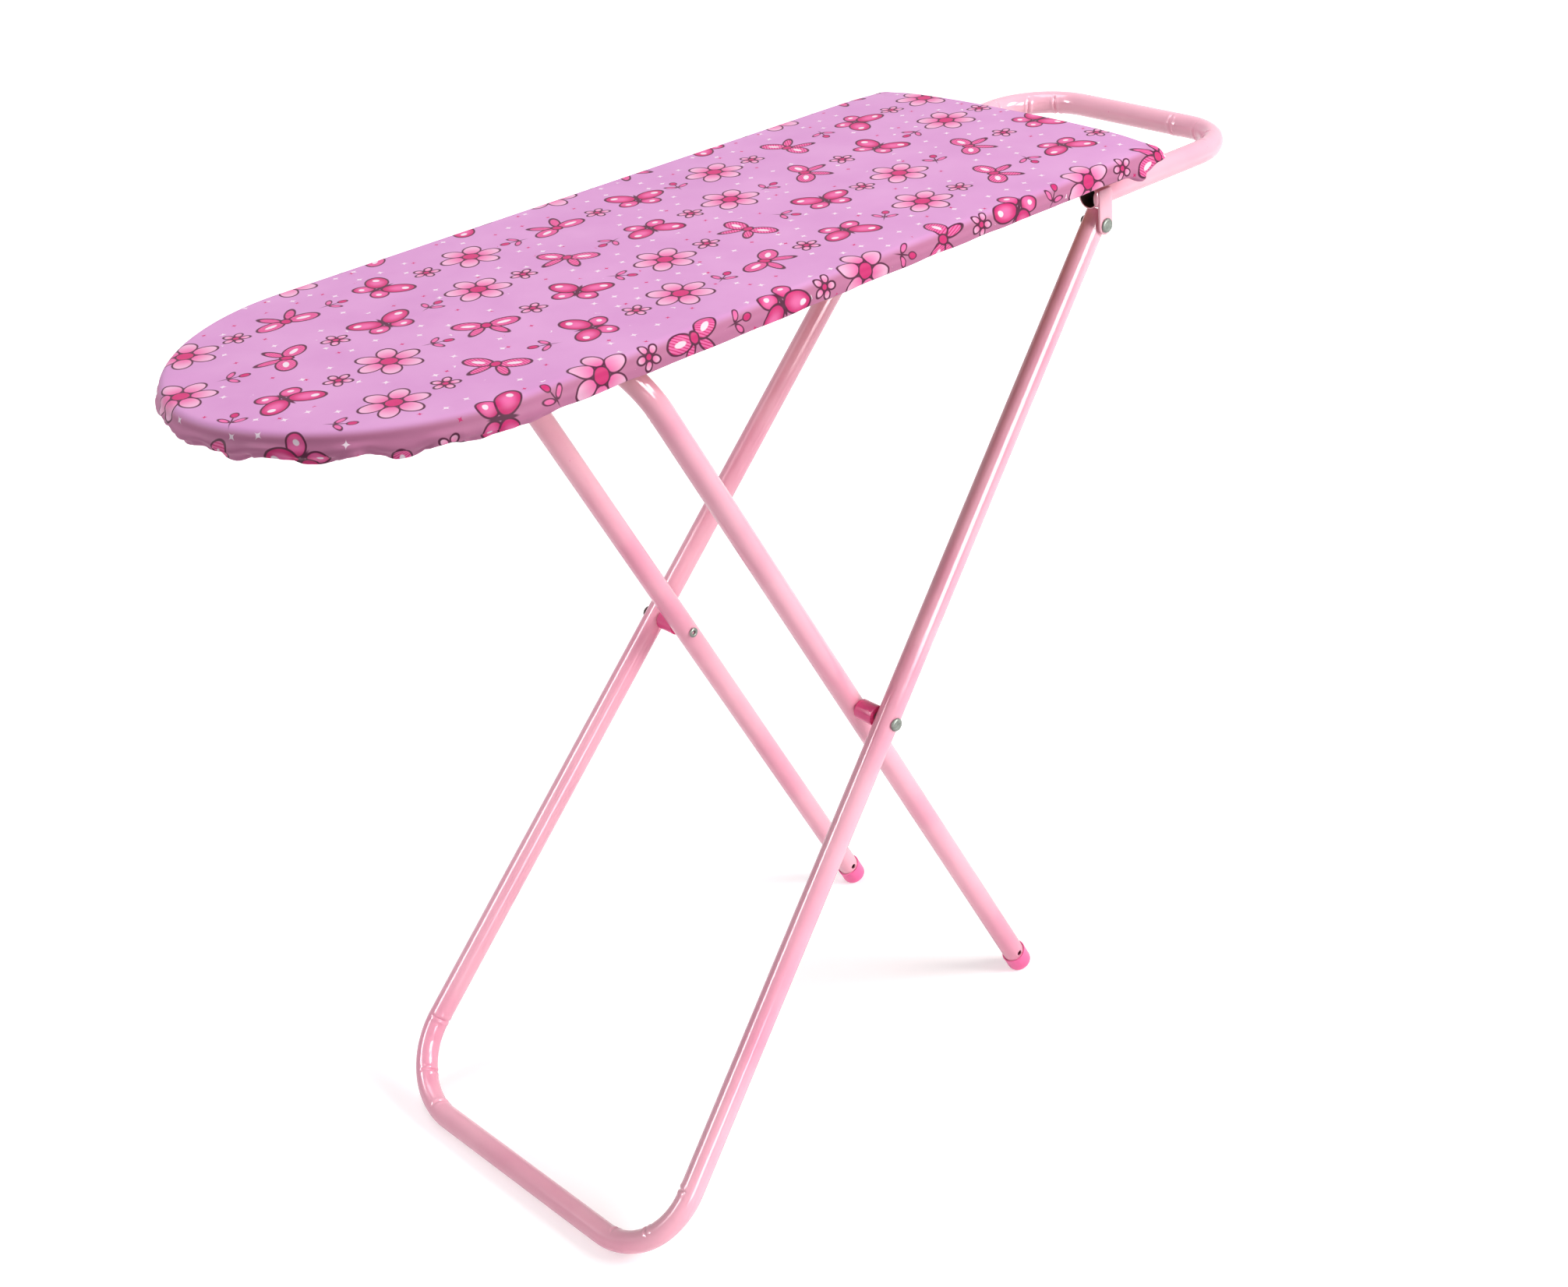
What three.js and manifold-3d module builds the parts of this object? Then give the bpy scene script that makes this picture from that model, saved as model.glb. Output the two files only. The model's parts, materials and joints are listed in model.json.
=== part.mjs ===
// Toy ironing board: a padded, cloth-covered panel on two crossed tube frames, with a U-shaped rest at
// the square end. Millimetres, +Z up. +X runs from the rounded nose to the rest, and the feet stand on
// z = 0. The origin is the bottom centre of the bounding box.
// "near" pieces are on the -Y side and "far" pieces on the +Y side.
import * as THREE from 'three';
import { mergeVertices } from 'three/addons/utils/BufferGeometryUtils.js';
import Module from 'manifold-3d';

const wasm = await Module();
wasm.setup();

// Gaps and cutting allowance
const seatGap = 0.3;
const cutOverrun = 5;

// Steel tube
const tubeDiameter = 13;
const tubeWall = 0.9;
const tubeSides = 20;
const bendSteps = 7;
const tubeRadius = tubeDiameter / 2;

// Board stack, from the underside up
const panelThickness = 6.5;
const padThickness = 2.5;
const coverThickness = 0.5;
const coverLength = 530.6;
const coverOverhang = 27.35;
const noseLength = 110.4;
const noseFullness = 1.88;
const noseSteps = 26;
const cornerRadius = 5;
const cornerSteps = 5;
const coverTopRound = 4.5;
const coverBottomRound = 1.6;
const roundSteps = 3;
const hemEndWidth = 6.4;
const elasticWidth = 3;
const elasticThickness = 1.6;

// Leg hinge under the square end
const pivotHeight = 453.3;
const pivotInset = 22.8;
const hingeDrop = 15.45;
const legTopReach = 5.5;
const plateWidth = 10.4;
const plateThickness = 1.5;
const plateAboveTube = 5;
const plateSteps = 8;

// U-shaped rest
const restReach = 102;
const restHalfSpacing = 76.5;
const restBendRadius = 37;
const restTailInset = 0.7;

// Outer leg frame
const outerReach = 404.7;
const outerFootHalfWidth = 115.8;
const outerBendRadius = 42;
const legSideAllowance = 0.4;
const scissorDistance = 291.4;

// Inner leg frame
const footReach = 121.2;
const crossbarClearance = 4.7;
const innerTopHalfWidth = 65.2;
const innerFootHalfWidth = 72.3;
const innerBendRadius = 36;
const footHoleDiameter = 3.4;
const footHoleSetback = 2.2;

// Foot caps
const capRadius = 7.4;
const capLength = 13.4;
const capMouthSlant = 2.5;
const capFloor = 2.4;
const capRound = 3.5;
const capSides = 24;

// Batten that carries the rest
const battenWidth = 17;
const battenThickness = 9.25;
const battenEndSetback = 1.55;
const battenSetback = 1.4;

// Rivets and spacer sleeves
const rivetSides = 16;
const hingeRivetDiameter = 4.6;
const hingeHeadDiameter = 8;
const hingeTailDiameter = 6.6;
const scissorRivetDiameter = 4.6;
const scissorHeadDiameter = 7.5;
const scissorTailDiameter = 5.9;
const rivetHeadHeight = 1.4;
const rivetTailHeight = 1.1;
const rivetBoreDiameter = 2;
const rivetBoreDepth = 4;
const spacerDiameter = 10;

// Screws
const screwDiameter = 3.2;
const screwHeadDiameter = 6;
const screwHeadHeight = 1.7;
const screwHeadRoundShare = 0.45;
const screwSides = 12;
const screwBite = 4.6;
const screwAccessDiameter = 7.4;
const battenScrewOffset = 30;
const restScrewShift = 4.7;

// Spring clips that hold the crossbar
const clipStripThickness = 0.8;
const clipStripWidth = 12;
const clipOffset = 21;
const clipRoofHalf = 4;
const clipShoulderAngle = 40;
const clipJawAngle = -35;
const clipArcSteps = 8;
const clipLipReach = 2.8;
const clipLipDrop = 3.6;

// Widths that follow the spacing of the rest
const coverWidth = 2 * (restHalfSpacing + coverOverhang);
const battenHalfLength = restHalfSpacing + tubeRadius;
const hemWidth = coverWidth / 2 - battenHalfLength - battenEndSetback - elasticWidth - seatGap;

// Heights of the stack, worked up from the hinge
const restHeight = pivotHeight + hingeDrop;
const battenBottom = restHeight + tubeRadius + seatGap;
const battenTop = battenBottom + battenThickness;
const panelBottom = battenTop + seatGap;
const panelTop = panelBottom + panelThickness;
const padBottom = panelTop + seatGap;
const padTop = padBottom + padThickness;
const coverTop = padTop + seatGap + coverThickness;
const hemTop = panelBottom - seatGap;
const hemBottom = hemTop - coverThickness;

// Pivots and frame angles, x measured from the square end of the board
const pivot = new THREE.Vector3(-pivotInset, 0, pivotHeight);
const outerDrop = pivotHeight - tubeRadius;
const outerLength = Math.hypot(outerReach, outerDrop);
const outerAngle = Math.atan2(outerDrop, outerReach);
const scissor = new THREE.Vector3(
  pivot.x - scissorDistance * Math.cos(outerAngle),
  0,
  pivot.z - scissorDistance * Math.sin(outerAngle),
);
const innerAngle = Math.atan2(scissor.z, footReach);
const crossbarHeight = panelBottom - crossbarClearance - tubeRadius;
const crossbarDistance = (crossbarHeight - scissor.z) / Math.sin(innerAngle);
const crossbarX = scissor.x - crossbarDistance * Math.cos(innerAngle);
const legTopHalfSpacing = restHalfSpacing - legSideAllowance;
const outerSplay = (outerFootHalfWidth - legTopHalfSpacing) / outerLength;
const outerHalfAt = (distance) => legTopHalfSpacing + outerSplay * distance;

// Colours
const PINK_PAINT = 0xf3b3c4;
const CLOTH_PINK = 0xe6a3d6;
const MAGENTA = 0xe8458f;
const STEEL = 0x8f938f;
const WOOD = 0xb58a5c;
const FOAM = 0xe9e2d0;

function material(color, roughness, metalness) {
  return new THREE.MeshStandardMaterial({ color, roughness, metalness });
}

// A closed geometry as a solid that can be cut and joined, turned right side out if need be
function toSolid(source) {
  const geometry = source.clone();
  geometry.deleteAttribute('normal');
  geometry.deleteAttribute('uv');
  const merged = mergeVertices(geometry);
  const vertProperties = new Float32Array(merged.attributes.position.array);
  const triVerts = new Uint32Array(merged.index.array);
  const build = () => new wasm.Manifold(new wasm.Mesh({ numProp: 3, vertProperties, triVerts }));
  const solid = build();
  if (solid.volume() >= 0) return solid;
  for (let i = 0; i < triVerts.length; i += 3) {
    [triVerts[i], triVerts[i + 1]] = [triVerts[i + 1], triVerts[i]];
  }
  return build();
}

function toGeometry(solid) {
  const mesh = solid.getMesh();
  const geometry = new THREE.BufferGeometry();
  const positions = new Float32Array(mesh.vertProperties);
  geometry.setAttribute('position', new THREE.BufferAttribute(positions, mesh.numProp));
  geometry.setIndex(new THREE.BufferAttribute(new Uint32Array(mesh.triVerts), 1));
  geometry.computeVertexNormals();
  return geometry;
}

function meshOf(name, solid, surface) {
  const mesh = new THREE.Mesh(toGeometry(solid), surface);
  mesh.name = name;
  return mesh;
}

// A solid of revolution about the Y axis from [radius, height] pairs
function turned(profile, sides) {
  const points = profile.map(([radius, height]) => new THREE.Vector2(radius, height));
  return new THREE.LatheGeometry(points, sides);
}

function cylinderAlongY(diameter, length, sides) {
  return new THREE.CylinderGeometry(diameter / 2, diameter / 2, length, sides);
}

// A centreline of straight runs joined by arcs, with one station at each end of a run and at each step
// of a bend, so that the swept tube has rings only where it needs them
class BentPath extends THREE.Curve {
  constructor(corners, bendRadius) {
    super();
    this.stations = [];
    const first = corners[1].clone().sub(corners[0]).normalize();
    this.stations.push({ point: corners[0].clone(), tangent: first });
    for (let i = 1; i < corners.length - 1; i += 1) {
      this.addBend(corners[i - 1], corners[i], corners[i + 1], bendRadius);
    }
    const last = corners[corners.length - 1];
    const lastTangent = last.clone().sub(corners[corners.length - 2]).normalize();
    this.stations.push({ point: last.clone(), tangent: lastTangent });
  }

  addBend(before, corner, after, bendRadius) {
    const into = corner.clone().sub(before).normalize();
    const out = after.clone().sub(corner).normalize();
    const turn = into.angleTo(out);
    const start = corner.clone().addScaledVector(into, -bendRadius * Math.tan(turn / 2));
    const inward = out.clone().addScaledVector(into, -out.dot(into)).normalize();
    for (let step = 0; step <= bendSteps; step += 1) {
      const angle = (turn * step) / bendSteps;
      const point = start.clone()
        .addScaledVector(into, bendRadius * Math.sin(angle))
        .addScaledVector(inward, bendRadius * (1 - Math.cos(angle)));
      const tangent = into.clone().multiplyScalar(Math.cos(angle));
      tangent.addScaledVector(inward, Math.sin(angle));
      this.stations.push({ point, tangent });
    }
  }

  stationAt(t) {
    return this.stations[Math.round(t * (this.stations.length - 1))];
  }

  getPoint(t) {
    return this.stationAt(t).point.clone();
  }

  getPointAt(t) {
    return this.getPoint(t);
  }

  getTangentAt(t) {
    return this.stationAt(t).tangent.clone();
  }
}

function ring(radius) {
  return Array.from({ length: tubeSides }, (_, i) => {
    const angle = (2 * Math.PI * i) / tubeSides;
    return new THREE.Vector2(radius * Math.cos(angle), radius * Math.sin(angle));
  });
}

// A bent steel tube with open ends
function bentTube(corners, bendRadius) {
  const path = new BentPath(corners, bendRadius);
  const section = new THREE.Shape(ring(tubeRadius));
  section.holes.push(new THREE.Path(ring(tubeRadius - tubeWall)));
  const steps = path.stations.length - 1;
  return toSolid(new THREE.ExtrudeGeometry(section, { steps, extrudePath: path }));
}

// The board's outline seen from above, drawn in by sideInset round the sides and nose and by endInset
// at the square end: straight sides, a superellipse nose and two small round corners
function boardOutline(sideInset, endInset) {
  const half = coverWidth / 2 - sideInset;
  const length = noseLength - sideInset;
  const noseStart = noseLength - coverLength;
  const points = [];
  for (let i = 0; i <= noseSteps; i += 1) {
    const angle = Math.PI * (i / noseSteps - 0.5);
    const along = Math.abs(Math.cos(angle)) ** (2 / noseFullness);
    const across = Math.sign(Math.sin(angle)) * Math.abs(Math.sin(angle)) ** (2 / noseFullness);
    points.push(new THREE.Vector2(noseStart - length * along, half * across));
  }
  for (const side of [1, -1]) {
    for (let i = 0; i <= cornerSteps; i += 1) {
      const share = side > 0 ? i / cornerSteps : 1 - i / cornerSteps;
      const angle = (Math.PI / 2) * share;
      const x = -endInset - cornerRadius * (1 - Math.sin(angle));
      const y = side * (half - cornerRadius * (1 - Math.cos(angle)));
      points.push(new THREE.Vector2(x, y));
    }
  }
  return points.reverse();
}

// A board-shaped solid built from outlines stacked at rising heights
function boardStack(levels) {
  const outlines = levels.map(({ inset, endInset = inset }) => boardOutline(inset, endInset));
  const count = outlines[0].length;
  const positions = [];
  levels.forEach(({ z }, level) => outlines[level].forEach((p) => positions.push(p.x, p.y, z)));
  const index = [];
  for (let level = 0; level < levels.length - 1; level += 1) {
    for (let i = 0; i < count; i += 1) {
      const a = level * count + i;
      const b = level * count + ((i + 1) % count);
      index.push(a, b, b + count, a, b + count, a + count);
    }
  }
  const top = (levels.length - 1) * count;
  for (const [a, b, c] of THREE.ShapeUtils.triangulateShape(outlines[0], [])) {
    index.push(a, c, b);
    index.push(top + a, top + b, top + c);
  }
  const geometry = new THREE.BufferGeometry();
  geometry.setAttribute('position', new THREE.Float32BufferAttribute(positions, 3));
  geometry.setIndex(index);
  return toSolid(geometry);
}

// Levels of a quarter-round top edge, whose arc of the given radius is centred coverTopRound in from
// the cover's outline and coverTopRound below its top, from the height lowest up
function roundedTopLevels(radius, lowest) {
  const centre = coverTop - coverTopRound;
  const start = Math.asin(Math.max(0, (lowest - centre) / radius));
  return Array.from({ length: roundSteps + 1 }, (_, i) => {
    const angle = start + (Math.PI / 2 - start) * (i / roundSteps);
    return { z: centre + radius * Math.sin(angle), inset: coverTopRound - radius * Math.cos(angle) };
  });
}

// Levels of the round lower edge of the cover, at a given depth inside the cloth
function roundedBottomLevels(depth) {
  const radius = coverBottomRound - depth;
  return Array.from({ length: roundSteps + 1 }, (_, i) => {
    const angle = (Math.PI / 2) * (1 - i / roundSteps);
    return {
      z: hemBottom + coverBottomRound - radius * Math.sin(angle),
      inset: coverBottomRound - radius * Math.cos(angle),
    };
  });
}

function screwHole(x, y, diameter, from, to) {
  const length = to - from;
  const hole = new THREE.CylinderGeometry(diameter / 2, diameter / 2, length, screwSides);
  hole.rotateX(Math.PI / 2);
  hole.translate(x, y, from + length / 2);
  return toSolid(hole);
}

// Screws stand upright, driven from below, with a domed head at headBottom and the tip at tipTop
function screw(name, x, y, headBottom, tipTop, surface) {
  const dome = screwHeadHeight * screwHeadRoundShare;
  const headTop = headBottom + screwHeadHeight;
  const headRadius = screwHeadDiameter / 2;
  const shankRadius = screwDiameter / 2;
  const geometry = turned([
    [0, headBottom],
    [headRadius - dome, headBottom],
    [headRadius, headBottom + dome],
    [headRadius, headTop],
    [shankRadius, headTop],
    [shankRadius, tipTop - shankRadius],
    [0, tipTop],
  ], screwSides);
  geometry.rotateX(Math.PI / 2);
  geometry.translate(x, y, 0);
  return meshOf(name, toSolid(geometry), surface);
}

const clearanceDiameter = screwDiameter + 2 * seatGap;
const screwTip = panelBottom + screwBite;
const battenX = -(hemEndWidth + seatGap + elasticWidth + battenSetback + battenWidth / 2);
const tubeInnerFlat = (tubeRadius - tubeWall) * Math.cos(Math.PI / tubeSides);
const restScrewSeat = Math.sqrt(tubeInnerFlat ** 2 - (screwHeadDiameter / 2) ** 2);
const restScrewHead = restHeight + restScrewSeat - seatGap - screwHeadHeight;
const battenScrewHead = battenBottom - seatGap - screwHeadHeight;
const clipRoofTop = panelBottom - seatGap;
const clipScrewHead = clipRoofTop - clipStripThickness - seatGap - screwHeadHeight;

// Places of the upright screws: [x, y, height of the head's underside]
function screwPlaces(side) {
  return {
    rest: [battenX + restScrewShift, side * restHalfSpacing, restScrewHead],
    batten: [battenX, side * battenScrewOffset, battenScrewHead],
    clip: [crossbarX, side * clipOffset, clipScrewHead],
  };
}

function boardPanel() {
  const inset = coverThickness + seatGap;
  let solid = boardStack([
    { z: panelBottom, inset: inset + seatGap },
    { z: panelBottom + seatGap, inset },
    { z: panelTop, inset },
  ]);
  for (const side of [-1, 1]) {
    for (const [x, y] of Object.values(screwPlaces(side))) {
      const hole = screwHole(x, y, clearanceDiameter, panelBottom - cutOverrun, screwTip + seatGap);
      solid = solid.subtract(hole);
    }
  }
  return meshOf('board_panel', solid, material(WOOD, 0.75, 0));
}

function foamPad() {
  const radius = coverTopRound - coverThickness - seatGap;
  return meshOf('foam_pad', boardStack(roundedTopLevels(radius, padBottom)), material(FOAM, 0.95, 0));
}

function fabricCover() {
  const innerRound = coverTopRound - coverThickness;
  const outer = boardStack([...roundedBottomLevels(0), ...roundedTopLevels(coverTopRound, 0)]);
  const cavity = boardStack([
    ...roundedBottomLevels(coverThickness),
    ...roundedTopLevels(innerRound, 0),
  ]);
  const opening = boardStack([
    { z: hemBottom - cutOverrun, inset: hemWidth, endInset: hemEndWidth },
    { z: hemTop + seatGap, inset: hemWidth, endInset: hemEndWidth },
  ]);
  return meshOf('fabric_cover', outer.subtract(cavity).subtract(opening), material(CLOTH_PINK, 0.5, 0));
}

function hemElastic() {
  const outerInset = hemWidth + seatGap;
  const outerEnd = hemEndWidth + seatGap;
  const bottom = hemTop - elasticThickness;
  const band = boardStack([
    { z: bottom, inset: outerInset, endInset: outerEnd },
    { z: hemTop, inset: outerInset, endInset: outerEnd },
  ]);
  const hole = boardStack([
    { z: bottom - cutOverrun, inset: outerInset + elasticWidth, endInset: outerEnd + elasticWidth },
    { z: hemTop + cutOverrun, inset: outerInset + elasticWidth, endInset: outerEnd + elasticWidth },
  ]);
  return meshOf('hem_elastic', band.subtract(hole), material(CLOTH_PINK, 0.8, 0));
}

function endBatten() {
  const box = new THREE.BoxGeometry(battenWidth, 2 * battenHalfLength, battenThickness);
  box.translate(battenX, 0, battenBottom + battenThickness / 2);
  let solid = toSolid(box);
  for (const side of [-1, 1]) {
    const { rest, batten } = screwPlaces(side);
    for (const [x, y] of [rest, batten]) {
      const from = battenBottom - cutOverrun;
      solid = solid.subtract(screwHole(x, y, clearanceDiameter, from, battenTop + cutOverrun));
    }
  }
  return meshOf('end_batten', solid, material(WOOD, 0.7, 0));
}

function restTube() {
  const tail = -pivotInset - plateWidth / 2 + restTailInset;
  const corners = [
    new THREE.Vector3(tail, -restHalfSpacing, restHeight),
    new THREE.Vector3(restReach, -restHalfSpacing, restHeight),
    new THREE.Vector3(restReach, restHalfSpacing, restHeight),
    new THREE.Vector3(tail, restHalfSpacing, restHeight),
  ];
  let solid = bentTube(corners, restBendRadius);
  for (const side of [-1, 1]) {
    const [x, y] = screwPlaces(side).rest;
    const overrun = tubeRadius + cutOverrun;
    solid = solid.subtract(screwHole(x, y, clearanceDiameter, restHeight, restHeight + overrun));
    solid = solid.subtract(screwHole(x, y, screwAccessDiameter, restHeight - overrun, restHeight));
  }
  return meshOf('rest_tube', solid, material(PINK_PAINT, 0.3, 0.1));
}

// A flat plate on the outer face of the rest tube, round at its lower end, drilled for the hinge rivet
function hingePlate(name, side) {
  const half = plateWidth / 2;
  const top = hingeDrop + plateAboveTube;
  const outline = new THREE.Shape();
  outline.moveTo(half, 0);
  outline.lineTo(half, top);
  outline.lineTo(-half, top);
  outline.lineTo(-half, 0);
  outline.absarc(0, 0, half, Math.PI, 2 * Math.PI, false);
  const hole = new THREE.Path();
  hole.absarc(0, 0, hingeRivetDiameter / 2 + seatGap, 0, 2 * Math.PI, true);
  outline.holes.push(hole);
  const geometry = new THREE.ExtrudeGeometry(outline, {
    depth: plateThickness,
    bevelEnabled: false,
    curveSegments: plateSteps,
  });
  geometry.rotateX(Math.PI / 2);
  const inner = restHalfSpacing + tubeRadius + seatGap;
  const y = side > 0 ? inner + plateThickness : -inner;
  geometry.translate(pivot.x, y, pivot.z);
  return meshOf(name, toSolid(geometry), material(PINK_PAINT, 0.3, 0.1));
}

// A tubular rivet along Y between two outer faces, with a domed head outside and a bored tail inside
function rivet(name, x, side, outerFace, innerFace, { diameter, headDiameter, tailDiameter }) {
  const head = outerFace + seatGap;
  const tail = innerFace - seatGap;
  const headRadius = headDiameter / 2;
  const tailRadius = tailDiameter / 2;
  const shankRadius = diameter / 2;
  const boreRadius = rivetBoreDiameter / 2;
  const dome = rivetHeadHeight / 2;
  const geometry = turned([
    [0, tail - rivetTailHeight + rivetBoreDepth],
    [boreRadius, tail - rivetTailHeight + rivetBoreDepth],
    [boreRadius, tail - rivetTailHeight],
    [tailRadius - rivetTailHeight / 2, tail - rivetTailHeight],
    [tailRadius, tail - rivetTailHeight / 2],
    [tailRadius, tail],
    [shankRadius, tail],
    [shankRadius, head],
    [headRadius, head],
    [headRadius, head + dome],
    [headRadius - dome, head + rivetHeadHeight],
    [0, head + rivetHeadHeight],
  ], rivetSides);
  if (side < 0) geometry.rotateZ(Math.PI);
  geometry.translate(x, 0, 0);
  return meshOf(name, toSolid(geometry), material(STEEL, 0.4, 0.8));
}

const hingeRivet = {
  diameter: hingeRivetDiameter,
  headDiameter: hingeHeadDiameter,
  tailDiameter: hingeTailDiameter,
};
const scissorRivet = {
  diameter: scissorRivetDiameter,
  headDiameter: scissorHeadDiameter,
  tailDiameter: scissorTailDiameter,
};

function crossHole(x, y, diameter, length) {
  const hole = cylinderAlongY(diameter, length, rivetSides);
  hole.translate(x, y, 0);
  return toSolid(hole);
}

// The outer frame lies in its own XY plane: the hinge at the origin, the arms along -X
function outerLegFrame() {
  const top = legTopReach;
  const corners = [
    new THREE.Vector3(top, -outerHalfAt(-top), 0),
    new THREE.Vector3(-outerLength, -outerFootHalfWidth, 0),
    new THREE.Vector3(-outerLength, outerFootHalfWidth, 0),
    new THREE.Vector3(top, outerHalfAt(-top), 0),
  ];
  let solid = bentTube(corners, outerBendRadius);
  const length = tubeDiameter + 2 * cutOverrun;
  const hinge = hingeRivetDiameter + 2 * seatGap;
  const cross = scissorRivetDiameter + 2 * seatGap;
  for (const side of [-1, 1]) {
    const crossY = side * outerHalfAt(scissorDistance);
    solid = solid.subtract(crossHole(0, side * legTopHalfSpacing, hinge, length));
    solid = solid.subtract(crossHole(-scissorDistance, crossY, cross, length));
  }
  return meshOf('outer_leg_frame', solid, material(PINK_PAINT, 0.3, 0.1));
}

// Distances along the inner frame from the scissor pivot
const capEdgeDrop = (capRadius - capRound) * Math.cos(innerAngle) + capRound;
const capEnd = capRound + (scissor.z - capEdgeDrop) / Math.sin(innerAngle);
const innerTubeEnd = capEnd - capFloor - seatGap;
const innerSplay = (innerFootHalfWidth - innerTopHalfWidth) / (crossbarDistance + innerTubeEnd);
const innerHalfAt = (distance) => innerTopHalfWidth + innerSplay * (distance + crossbarDistance);

// The inner frame lies in its own XY plane: the scissor pivot at the origin, the feet along +X
function innerLegFrame() {
  const corners = [
    new THREE.Vector3(innerTubeEnd, -innerHalfAt(innerTubeEnd), 0),
    new THREE.Vector3(-crossbarDistance, -innerTopHalfWidth, 0),
    new THREE.Vector3(-crossbarDistance, innerTopHalfWidth, 0),
    new THREE.Vector3(innerTubeEnd, innerHalfAt(innerTubeEnd), 0),
  ];
  let solid = bentTube(corners, innerBendRadius);
  const length = tubeDiameter + 2 * cutOverrun;
  const cross = scissorRivetDiameter + 2 * seatGap;
  const footHole = capEnd - capLength - footHoleSetback;
  for (const side of [-1, 1]) {
    solid = solid.subtract(crossHole(0, side * innerHalfAt(0), cross, length));
    solid = solid.subtract(crossHole(footHole, side * innerHalfAt(footHole), footHoleDiameter, length));
  }
  return meshOf('inner_leg_frame', solid, material(PINK_PAINT, 0.3, 0.1));
}

function spacerSleeve(name, side) {
  const lean = (spacerDiameter / 2) * (outerSplay + innerSplay);
  const from = innerHalfAt(0) + tubeRadius + seatGap + lean / 2;
  const to = outerHalfAt(scissorDistance) - tubeRadius - seatGap - lean;
  const middle = (side * (from + to)) / 2;
  const outer = cylinderAlongY(spacerDiameter, to - from, rivetSides);
  outer.translate(-scissorDistance, middle, 0);
  const bore = crossHole(-scissorDistance, middle, scissorRivetDiameter + 2 * seatGap, to);
  return meshOf(name, toSolid(outer).subtract(bore), material(MAGENTA, 0.25, 0));
}

// A cup whose slanted mouth stands capLength from the end on its axis and reaches further on the side
// that looks up
function footCap(name, side) {
  const bore = tubeRadius / Math.cos(Math.PI / capSides) + seatGap;
  const profile = [[0, capEnd]];
  for (let i = 0; i <= roundSteps; i += 1) {
    const angle = (Math.PI / 2) * (1 - i / roundSteps);
    profile.push([
      capRadius - capRound + capRound * Math.cos(angle),
      capEnd - capRound + capRound * Math.sin(angle),
    ]);
  }
  const mouth = capEnd - capLength - capMouthSlant;
  profile.push([capRadius, mouth], [bore, mouth]);
  profile.push([bore, capEnd - capFloor], [0, capEnd - capFloor]);
  const geometry = turned(profile, capSides);
  geometry.translate(0, -capEnd, 0);
  const direction = new THREE.Vector3(1, side * innerSplay, 0).normalize();
  const steepness = Math.hypot(1, capMouthSlant / capRadius);
  const towardsEnd = [0, 1 / steepness, capMouthSlant / capRadius / steepness];
  const cup = toSolid(geometry).trimByPlane(towardsEnd, -capLength / steepness);
  const mesh = meshOf(name, cup, material(MAGENTA, 0.25, 0));
  mesh.quaternion.setFromUnitVectors(new THREE.Vector3(0, 1, 0), direction);
  mesh.position.set(capEnd, side * innerHalfAt(capEnd), 0);
  return mesh;
}

// A closed outline of a bent strip, from its middle line and its thickness
function stripOutline(line, thickness) {
  const sides = [[], []];
  line.forEach((point, i) => {
    const before = line[Math.max(0, i - 1)];
    const after = line[Math.min(line.length - 1, i + 1)];
    const along = after.clone().sub(before).normalize();
    const across = new THREE.Vector2(-along.y, along.x).multiplyScalar(thickness / 2);
    sides[0].push(point.clone().add(across));
    sides[1].unshift(point.clone().sub(across));
  });
  return new THREE.Shape([...sides[0], ...sides[1]]);
}

// A spring strip with a flat roof against the board, two jaws round the crossbar and two lips
function crossbarClip(name, side) {
  const radius = tubeRadius + seatGap + clipStripThickness / 2;
  const roof = clipRoofTop - clipStripThickness / 2 - crossbarHeight;
  const half = [new THREE.Vector2(clipRoofHalf, roof)];
  for (let i = 0; i <= clipArcSteps; i += 1) {
    const angle = THREE.MathUtils.degToRad(
      clipShoulderAngle + (clipJawAngle - clipShoulderAngle) * (i / clipArcSteps),
    );
    half.push(new THREE.Vector2(radius * Math.cos(angle), radius * Math.sin(angle)));
  }
  const jaw = half[half.length - 1];
  half.push(new THREE.Vector2(jaw.x + clipLipReach, jaw.y - clipLipDrop));
  const line = [...half.slice().reverse().map((p) => new THREE.Vector2(-p.x, p.y)), ...half];
  const strip = new THREE.ExtrudeGeometry(stripOutline(line, clipStripThickness), {
    depth: clipStripWidth,
    bevelEnabled: false,
  });
  strip.rotateX(Math.PI / 2);
  strip.translate(crossbarX, side * clipOffset + clipStripWidth / 2, crossbarHeight);
  const y = side * clipOffset;
  const hole = screwHole(crossbarX, y, clearanceDiameter, clipScrewHead, clipRoofTop + cutOverrun);
  return meshOf(name, toSolid(strip).subtract(hole), material(STEEL, 0.35, 0.9));
}

const board = new THREE.Group();
board.add(boardPanel(), foamPad(), fabricCover(), hemElastic(), endBatten(), restTube());

const outerLegs = new THREE.Group();
outerLegs.position.copy(pivot);
outerLegs.rotation.y = -outerAngle;
outerLegs.add(outerLegFrame());

const innerLegs = new THREE.Group();
innerLegs.position.copy(scissor);
innerLegs.rotation.y = innerAngle;
innerLegs.add(innerLegFrame());

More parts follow.
